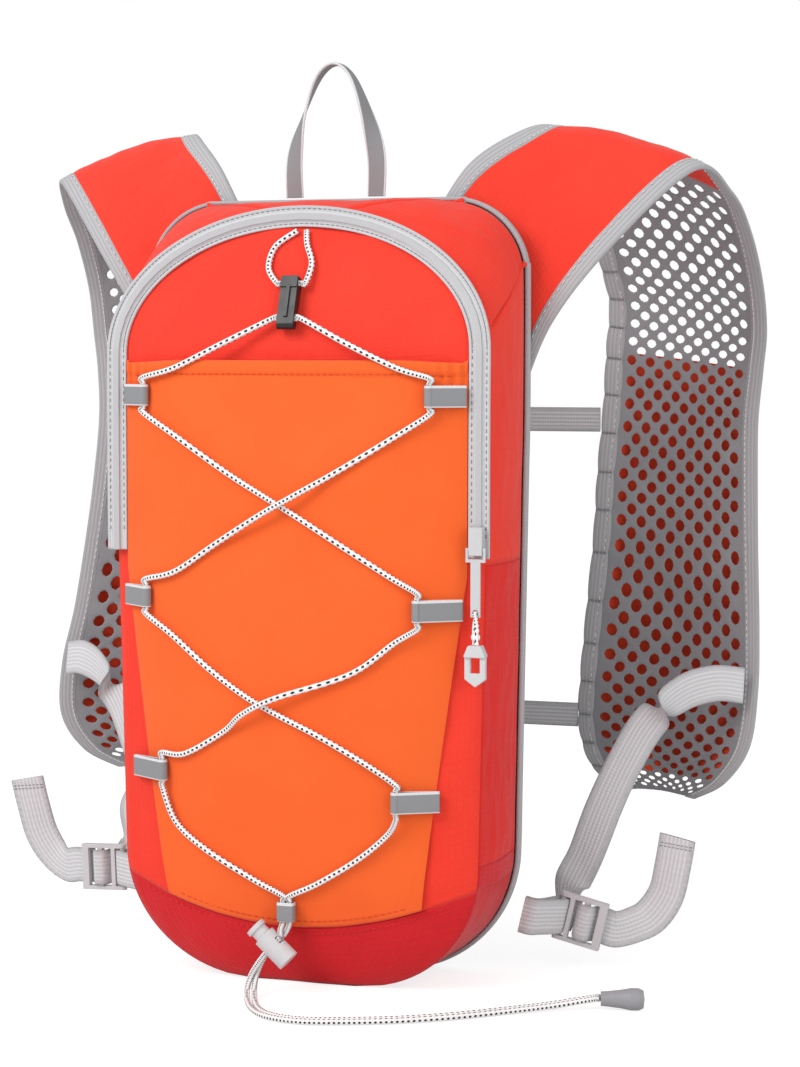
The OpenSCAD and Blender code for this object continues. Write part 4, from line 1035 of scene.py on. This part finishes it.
# %% Strap stations
neck_edge = [Vector(p) for p in [
    (54, 43.6, 402), (70, 51, 428), (88, 70, 444), (101, 92, 450), (107, 120, 438), (110, 147, 411),
    (112, 170, 382), (115, 184, 357), (113, 186, 330), (111, 187, 296), (108, 187, 260), (106, 187, 224),
    (102, 187, 180), (99, 186, 142), (99, 183, 112), (108, 177, 90), (126, 168, 79)]]
arm_edge = [Vector(p) for p in [
    (101, 43.6, 304), (117, 46, 344), (146, 58, 384), (184, 88, 425), (198, 120, 414), (203, 148, 395),
    (206, 170, 368), (207, 179, 341), (205, 180, 318), (203, 177, 290), (204, 171, 255), (206, 163, 218),
    (209, 152, 175), (211, 138, 142), (208, 130, 112), (194, 132, 91), (176, 141, 80)]]
YOKE_END, FOOT, BIND_W, BIND_T, MESH_T = 4, 16, 10, 4, 3
TACK_STEP, BINDING_LENGTH = 25.0, 640


def strap_out(i):
    """The way the strap's outer face looks at station i."""
    t = i / FOOT
    way = tangent(neck_edge, t) + tangent(arm_edge, t)
    return (curve_at(arm_edge, t) - curve_at(neck_edge, t)).cross(way).normalized()


def strap_width(i):
    return (curve_at(arm_edge, i / FOOT) - curve_at(neck_edge, i / FOOT)).length


def on_strap(i, d, off, side):
    """A place on a strap: station i, d millimetres from the neck edge, off from its middle face."""
    f = d / strap_width(i)
    bow = 7 * math.sin(math.pi * max(0, min(1, f))) * smooth((i - 1) / 3)
    p = curve_at(neck_edge, i / FOOT).lerp(curve_at(arm_edge, i / FOOT), f) + strap_out(i) * (off + bow)
    return Vector((side * p.x, p.y, p.z))


def strap_length(first, last, f):
    spots = [on_strap(lerp(first, last, k / 60), f * 90, 0, 1) for k in range(61)]
    return sum((b - a).length for a, b in zip(spots, spots[1:]))


print("strap length", round(strap_length(0, FOOT, 0.5)), "mm")

# %% Yokes
for word, side in (("right", 1), ("left", -1)):

    def yoke_place(u, v, side=side):
        i = lerp(0, YOKE_END, v)
        d = lerp(BIND_W - 2, strap_width(i) - BIND_W + 2, u)
        room = math.sin(math.pi * u) ** 0.5 * smooth(v * 9) * smooth((1 - v) * 9)
        p = on_strap(i, d, 0, side)
        folds = crumple(side * p.x, p.y, p.z, 24, 1.5) + crumple(p.x, p.y * 1.4, p.z, 10, 0.6)
        return on_strap(i, d, MESH_T / 2 + room * folds - 0.7 * (1 - room), side)

    yoke = keep(f"yoke_cloth_{word}", laid_grid(yoke_place, 60, 100), red_ripstop,
                stands_for=[f"yoke_{word}"])
    thicken(yoke, 2.6, offset=-side)
    middle_length(yoke_place)
    rows = [[on_strap(YOKE_END - 0.12, lerp(BIND_W, strap_width(YOKE_END) - BIND_W, k / 20), off, side)
             for k in range(21)] for off in (MESH_T / 2 + 0.1, -MESH_T / 2 - 0.1)]
    stitches(f"yoke_end_stitches_{word}", rows, lambda p: (0, 0.3, 1), thread_grey)
print("yokes done")

# %% [markdown]
# ### Air mesh
# The chest panels are knitted from thick yarn with open diamond holes about 6.5 mm wide, and they
# can be seen through. A flat grid turned by 45 degrees gives the diamonds. Each face is inset
# and its middle removed, which leaves the yarn, and one step of subdivision rounds the holes.
# The net is cut to the panel while it is still flat, then laid on the strap.

# %% Air mesh
air_yarn, tree, shader = principled("grey_air_mesh_yarn", "#98989B", 0.85, Sheen_Weight=0.2)
uv = add(tree, "ShaderNodeTexCoord").outputs["Object"]
slow = add(tree, "ShaderNodeTexNoise", {"Vector": uv, "Scale": 30.0, "Detail": 3.0}).outputs["Fac"]
tinted(tree, shader, "#A0A0A3", "#88888C", slow)
yarn = waves(tree, uv, "DIAGONAL", 0.8)
bump = add(tree, "ShaderNodeBump", {"Height": yarn, "Distance": 0.2 * MM, "Strength": 0.7})
tree.links.new(bump.outputs[0], shader.inputs["Normal"])
PITCH = 12.4


def net(name, side, material, node):
    """An open net over one chest panel."""
    length = strap_length(YOKE_END, FOOT, 0.5)
    width = 90.0
    bm = bmesh.new()
    cell = PITCH / math.sqrt(2)
    count = int((length + width) / math.sqrt(2) / cell) + 2
    half = count * cell / 2
    bmesh.ops.create_grid(bm, x_segments=count, y_segments=count, size=half,
                          matrix=Matrix.Rotation(math.radians(45), 4, "Z"))
    for spot, way in (((width / 2, 0, 0), (1, 0, 0)), ((-width / 2, 0, 0), (-1, 0, 0)),
                      ((0, length / 2, 0), (0, 1, 0)), ((0, -length / 2, 0), (0, -1, 0))):
        bmesh.ops.bisect_plane(bm, geom=bm.verts[:] + bm.edges[:] + bm.faces[:], plane_co=spot, plane_no=way,
                               clear_outer=True)
    whole = [f for f in bm.faces if len(f.verts) == 4]
    bmesh.ops.inset_individual(bm, faces=whole, thickness=1.15, use_even_offset=True)
    bmesh.ops.delete(bm, geom=whole, context="FACES")
    for vert in bm.verts:
        u, v = vert.co.x / width + 0.5, vert.co.y / length + 0.5
        i = lerp(YOKE_END, FOOT, v)
        d = lerp(BIND_W - 2, strap_width(i) - BIND_W + 2, u)
        room = smooth(min(u, 1 - u) * 8)
        p = on_strap(i, d, 0, side)
        folds = crumple(p.x * 0.5, p.y, p.z * 1.6, 30, 2.4) + crumple(p.x, p.y, p.z, 13, 0.8)
        vert.co = on_strap(i, d, room * folds, side) * MM
    made = keep(name, bm, material, stands_for=[node])
    thicken(made, 1.5, offset=0)
    rounded = made.modifiers.new("round holes", "SUBSURF")
    rounded.levels = rounded.render_levels = 1
    return made


for word, side in (("right", 1), ("left", -1)):
    panel = net(f"air_mesh_{word}", side, air_yarn, f"chest_mesh_{word}")
    wide = sum(strap_width(lerp(YOKE_END, FOOT, k / 20)) - 2 * (BIND_W - 2) for k in range(21)) / 21

# %% [markdown]
# ### Bound edges
# A folded tape covers both edges of each strap. The neck edge carries a daisy chain as well: a
# second tape tacked down every 25 mm, so its edge stands off in small scallops and each tack
# pulls it in.

# %% Edge bindings


def binding_place(side, arm, u, v):
    """A rounded tape round one edge of a strap."""
    i = lerp(0, FOOT, v)
    ring = 2 * math.pi * u
    across = (BIND_W / 2) * math.copysign(abs(math.cos(ring)) ** 0.45, math.cos(ring))
    thick = (BIND_T / 2) * math.copysign(abs(math.sin(ring)) ** 0.7, math.sin(ring))
    if not arm:
        scallop = abs(math.sin(math.pi * (v * BINDING_LENGTH) / TACK_STEP)) ** 0.6
        free = smooth((i - YOKE_END - 1) / 1.5)
        thick *= lerp(0.8, lerp(0.62, 1.0, scallop), free)
        across *= lerp(1.0, lerp(0.9, 1.06, scallop), free)
    else:
        thick *= 0.72
    middle = BIND_W / 2 if not arm else strap_width(i) - BIND_W / 2
    return on_strap(i, middle + across, thick, side)


for word, side in (("right", 1), ("left", -1)):
    for part, arm in (("neck", False), ("arm", True)):
        bm = laid_grid(lambda u, v: binding_place(side, arm, u, v), 16, 380, closed=True)
        close_ends(bm)
        keep(f"{part}_edge_tape_{word}", bm, binding_tape, stands_for=[f"{part}_binding_{word}"])
        rows = []
        for face in (-1, 1):
            row = []
            for k in range(2, 119):
                i = FOOT * k / 120
                d = strap_width(i) - BIND_W + 2.2 if arm else BIND_W - 2.2
                row.append(on_strap(i, d, face * (BIND_T / 2 * 0.82), side))
            rows.append(row)
        stitches(f"{part}_edge_stitches_{word}", rows, lambda p: (0, -1, 0.2), thread_pale)
    tacks = []
    for k in range(7, 25):
        i = FOOT * (k * TACK_STEP / BINDING_LENGTH)
        if i > YOKE_END + 1 and i < FOOT - 0.3:
            tacks += [[on_strap(i, d, face * off, side) for d, off in ((1, 1.5), (5, 1.75), (9, 1.5))]
                      for face in (-1, 1)]
    stitches(f"daisy_chain_tacks_{word}", tacks, lambda p: (0, -1, 0), thread_grey, long=1.6,
             gap=0.3, thick=1.1)
print("bindings done")

# %% [markdown]
# ### Chest pockets
# A patch pocket is sewn on the outer face of each chest panel and stands open at its top. It is
# cut fuller than the panel below it, so it swells between its seams and folds at the foot.

# %% Chest pockets
for word, side in (("right", 1), ("left", -1)):

    def chest_place(u, v, side=side):
        i = lerp(15, 8, v)
        w = strap_width(i)
        s = math.sin((2 * u - 1) * math.pi / 2)
        room = 0.3 + 9 * (1 - s**4) * smooth((15 - i) / 2.5)
        p = on_strap(i, w / 2 + s * (w / 2 - BIND_W - 0.3), 0, side)
        hem = 0.8 * smooth((v - 0.955) / 0.01)
        folds = (1 - s**4) * (crumple(p.x, p.y, p.z * 0.8, 26, 1.6) + crumple(p.x, p.y, p.z, 11, 0.5))
        off = MESH_T / 2 + room + 1.4 + hem + min(0.8, folds)
        return on_strap(i, w / 2 + s * (w / 2 - BIND_W - 0.3), off, side)

    made = keep(f"chest_pocket_cloth_{word}", laid_grid(chest_place, 70, 130), chest_ripstop,
                stands_for=[f"chest_pocket_{word}"])
    thicken(made, 1.2, offset=side)
    middle_length(chest_place)
print("chest pockets done")

# %% [markdown]
# ## Straps
# All webbing is drawn as ribbons along the same paths as the solids: the side straps from the
# chest panels to the ladder buckles, the anchors from the back seam round the buckles' bars, the
# free tails that curl up, the carry handle and the sternum straps.

# %% Side straps
SIDE_W, WEB_T = 20, 1.6
lock_spot = {"left": Vector((148, 60, 37)), "right": Vector((131, 58, 26))}
lock_turn = {"left": math.radians(2), "right": math.radians(13)}
BAR_X, BAR_R = -11.5, 1.6
WRAP_R = BAR_R + 0.4 + WEB_T / 2
thread = [(-3.6, 5.4), (-3.1, 3), (-2.3, 0), (-1.2, -2.3), (0.2, -3.3), (3.4, -3.3), (4.8, -2.2), (5.9, 0),
          (7.2, 3), (9.4, 3.7), (13, 3.6), (19, 4.2)]
tail_end = [(27, 7, 1), (36, 10, 6), (44, 10, 18), (48, 8, 34), (51, 6, 50)]
strap_route = [(204, 132, 146), (190, 122, 148), (174, 112, 143), (158, 103, 128), (146, 95, 106),
               (136, 89, 82)]
strap_wide = [(0, 0.2, 1), (-0.1, 0.2, 1), (0.4, 0.2, 0.8), (0.7, 0.3, 0.5), (0.9, 0.4, 0.3), (0.9, 0.3, 0.2)]


def lock_point(word, x, y, z=0.0):
    a = lock_turn[word]
    return lock_spot[word] + Vector((x * math.cos(a) + z * math.sin(a), y, z * math.cos(a) - x * math.sin(a)))


def handed(word, points):
    """The points as they are on the right, or mirrored for the left."""
    return [Vector((p[0] if word == "right" else -p[0], p[1], p[2])) for p in points]


for word in ("left", "right"):
    a = lock_turn[word]
    level = (math.sin(a), 0, math.cos(a))
    into_lock = [(-10, 24, 30), (-13, 19, 12), (-9, 11.5, 2), (-4.4, 7, 0)]
    path = [*strap_route, *(lock_point(word, *p) for p in into_lock)]
    wide = [*strap_wide, (0.8, 0.1, 0.3), (0.5, 0.3, 0.8), (0.2, 0.1, 1), (math.sin(a), 0, 1)]
    bm = ribbon(handed(word, path), handed(word, wide), SIDE_W, WEB_T, 200)
    close_ends(bm)
    keep(f"side_webbing_{word}", bm, light_web, stands_for=[f"side_strap_{word}"])

    path = [*(lock_point(word, *p) for p in thread),
            *(lock_spot[word] + Vector(p) + Vector((0, 0, -3)) for p in tail_end)]
    wide = [level] * 12 + [(0.1, 0, 1), (-0.4, 0, 0.9), (-0.9, 0.1, 0.4), (-1, 0.1, 0.1), (-1, 0.1, 0.1)]
    bm = ribbon(handed(word, path), handed(word, wide), SIDE_W, WEB_T, 220)
    close_ends(bm)
    keep(f"webbing_tail_{word}", bm, light_web, body=f"adjuster_{word}",
         stands_for=[f"strap_tail_{word}"])
    ends = handed(word, path)
    across = handed(word, wide)[-1].normalized() * 9
    rows = [[(ends[-1].lerp(ends[-2], f) + across * k / 6) + Vector((0, off, 0)) for k in range(-6, 7)]
            for f in (0.25, 0.36) for off in (-0.75, 0.75)]
    stitches(f"tail_hem_stitches_{word}", rows, lambda p: (0, -1, 0), thread_grey,
             body=f"adjuster_{word}", long=1.4, gap=0.8)

# %% Anchors
for word in ("left", "right"):
    a, spot = lock_turn[word], lock_spot[word]
    ply, bend_r = WEB_T / 2 + 0.1, 5
    bend = Vector(((BASE_HALF + 7 - spot.x) / math.cos(a), BACK_Y + 3 - spot.y))
    to_bar = Vector((BAR_X, 0)) - bend - Vector((0, bend_r))
    heading = math.atan2(to_bar.y, to_bar.x) + math.asin(bend_r / to_bar.length)
    way = Vector((math.cos(heading), math.sin(heading)))
    leave = bend + Vector((bend_r * way.y, bend_r * (1 - way.x)))
    run = (Vector((BAR_X, 0)) - leave).length

    def ply_side(s):
        first = [bend + Vector((-back, s * ply)) for back in (3, 1)]
        turn = [bend + Vector((0, bend_r))
                + (bend_r - s * ply) * Vector((math.sin(k * heading / 4), -math.cos(k * heading / 4)))
                for k in range(5)]
        rest = [leave + k / 5 * run * way + s * lerp(ply, WRAP_R, smooth(k / 5)) * Vector((-way.y, way.x))
                for k in range(1, 5)]
        return first + turn + rest

    angles = [heading + math.radians(k) for k in range(-90, 91, 30)]
    wrap = [Vector((BAR_X, 0)) + WRAP_R * Vector((math.cos(k), math.sin(k))) for k in angles]
    flat = [*ply_side(-1), *wrap, *reversed(ply_side(1))]
    path = [lock_point(word, p.x, p.y) for p in flat]
    bm = ribbon(handed(word, path), handed(word, [(math.sin(a), 0, math.cos(a))] * 2), SIDE_W, WEB_T, 160)
    close_ends(bm)
    keep(f"anchor_webbing_{word}", bm, light_web, stands_for=[f"side_anchor_{word}"])
print("side straps done")

# %% Carry handle
HANDLE_HALF, HANDLE_H = 23, 70
seam_y, foot = BACK_Y + 3, BODY_H + 2.2 + 0.95
handle_path = [Vector((x, seam_y, foot + z * HANDLE_H)) for x, z in (
    (-HANDLE_HALF, 0), (-HANDLE_HALF, 0.3), (-HANDLE_HALF + 5, 0.6), (-HANDLE_HALF / 2.4, 0.9), (0, 1),
    (HANDLE_HALF / 2.4, 0.9), (HANDLE_HALF - 5, 0.6), (HANDLE_HALF, 0.3), (HANDLE_HALF, 0))]
shares = [smooth((p.z - foot) / HANDLE_H) for p in handle_path]
handle_wide = [Vector(((1 if p.x > -0.01 else -1) * (1 - k), k, 0)) for p, k in zip(handle_path, shares)]
bm = ribbon(handle_path, handle_wide, 10, WEB_T, 200)
close_ends(bm)
keep("carry_handle_webbing", bm, handle_web, body="handle", stands_for=["carry_handle"])

# %% Sternum straps
for word, z in (("upper", 290), ("lower", 118)):
    k = next(i for i in range(8, 15) if neck_edge[i + 1].z <= z <= neck_edge[i].z)
    f = (neck_edge[k].z - z) / (neck_edge[k].z - neck_edge[k + 1].z)
    x, y = lerp(neck_edge[k].x, neck_edge[k + 1].x, f), lerp(neck_edge[k].y, neck_edge[k + 1].y, f)
    for part, ends in (("chest_web", (-x + 1.1, -20.4)), ("socket_web", (24.3, x - 1.1))):
        path = [Vector((lerp(*ends, t), y + 0.12 * math.sin(t * 6.3), z))
                for t in (0, 0.25, 0.5, 0.75, 1)]
        bm = ribbon(path, [(0, 0, 1), (0, 0, 1)], 14, WEB_T, 80)
        close_ends(bm)
        keep(f"{part}bing_{word}", bm, grey_web, stands_for=[f"{part}_{word}"])
print("handle and sternum straps done")

# %% [markdown]
# ## Inside
# The water reservoir and its sleeve stand behind the main room. They are hidden while the bag
# is closed, but a designer may open it, so both are real soft shapes: a film bag with round
# edges and a thin lining.

# %% Reservoir


def pillow(name, node, material, inset_mm):
    """A soft bag with the outer size of its solid."""
    lo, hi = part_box(node)
    bm = bmesh.new()
    size = hi - lo
    bmesh.ops.create_grid(bm, x_segments=24, y_segments=40, size=0.5)
    top = bmesh.ops.duplicate(bm, geom=bm.faces[:])["geom"]
    for vert in bm.verts:
        u, v = vert.co.x, vert.co.y
        vert.co.z = 0.5 * (max(0.0, 1 - (2 * abs(u)) ** 4) * max(0.0, 1 - (2 * abs(v)) ** 6)) ** 0.5
    for vert in {e for e in top if isinstance(e, bmesh.types.BMVert)}:
        vert.co.z *= -1
    for vert in bm.verts:
        u, v, w = vert.co
        vert.co = Vector(((lo.x + hi.x) / 2 + u * (size.x - inset_mm * MM), (lo.y + hi.y) / 2 + w * size.y,
                          (lo.z + hi.z) / 2 + v * (size.z - inset_mm * MM)))
    bmesh.ops.remove_doubles(bm, verts=bm.verts, dist=1e-6)
    bmesh.ops.recalc_face_normals(bm, faces=bm.faces)
    return keep(name, bm, material, stands_for=[node])


pillow("water_reservoir", "reservoir", film, 2)
lo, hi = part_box("reservoir_sleeve")
bm = laid_grid(lambda u, v: Vector((lerp(lo.x, hi.x, u), (lo.y + hi.y) / 2, lerp(lo.z, hi.z, v))) / MM, 20, 40)
sleeve = keep("sleeve_cloth", bm, lining, stands_for=["reservoir_sleeve"])
thicken(sleeve, 0.6, offset=0)

# %% Print the visual box and finish
lo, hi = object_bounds()
print("visual box", [round(x, 4) for x in (*lo, *hi)])
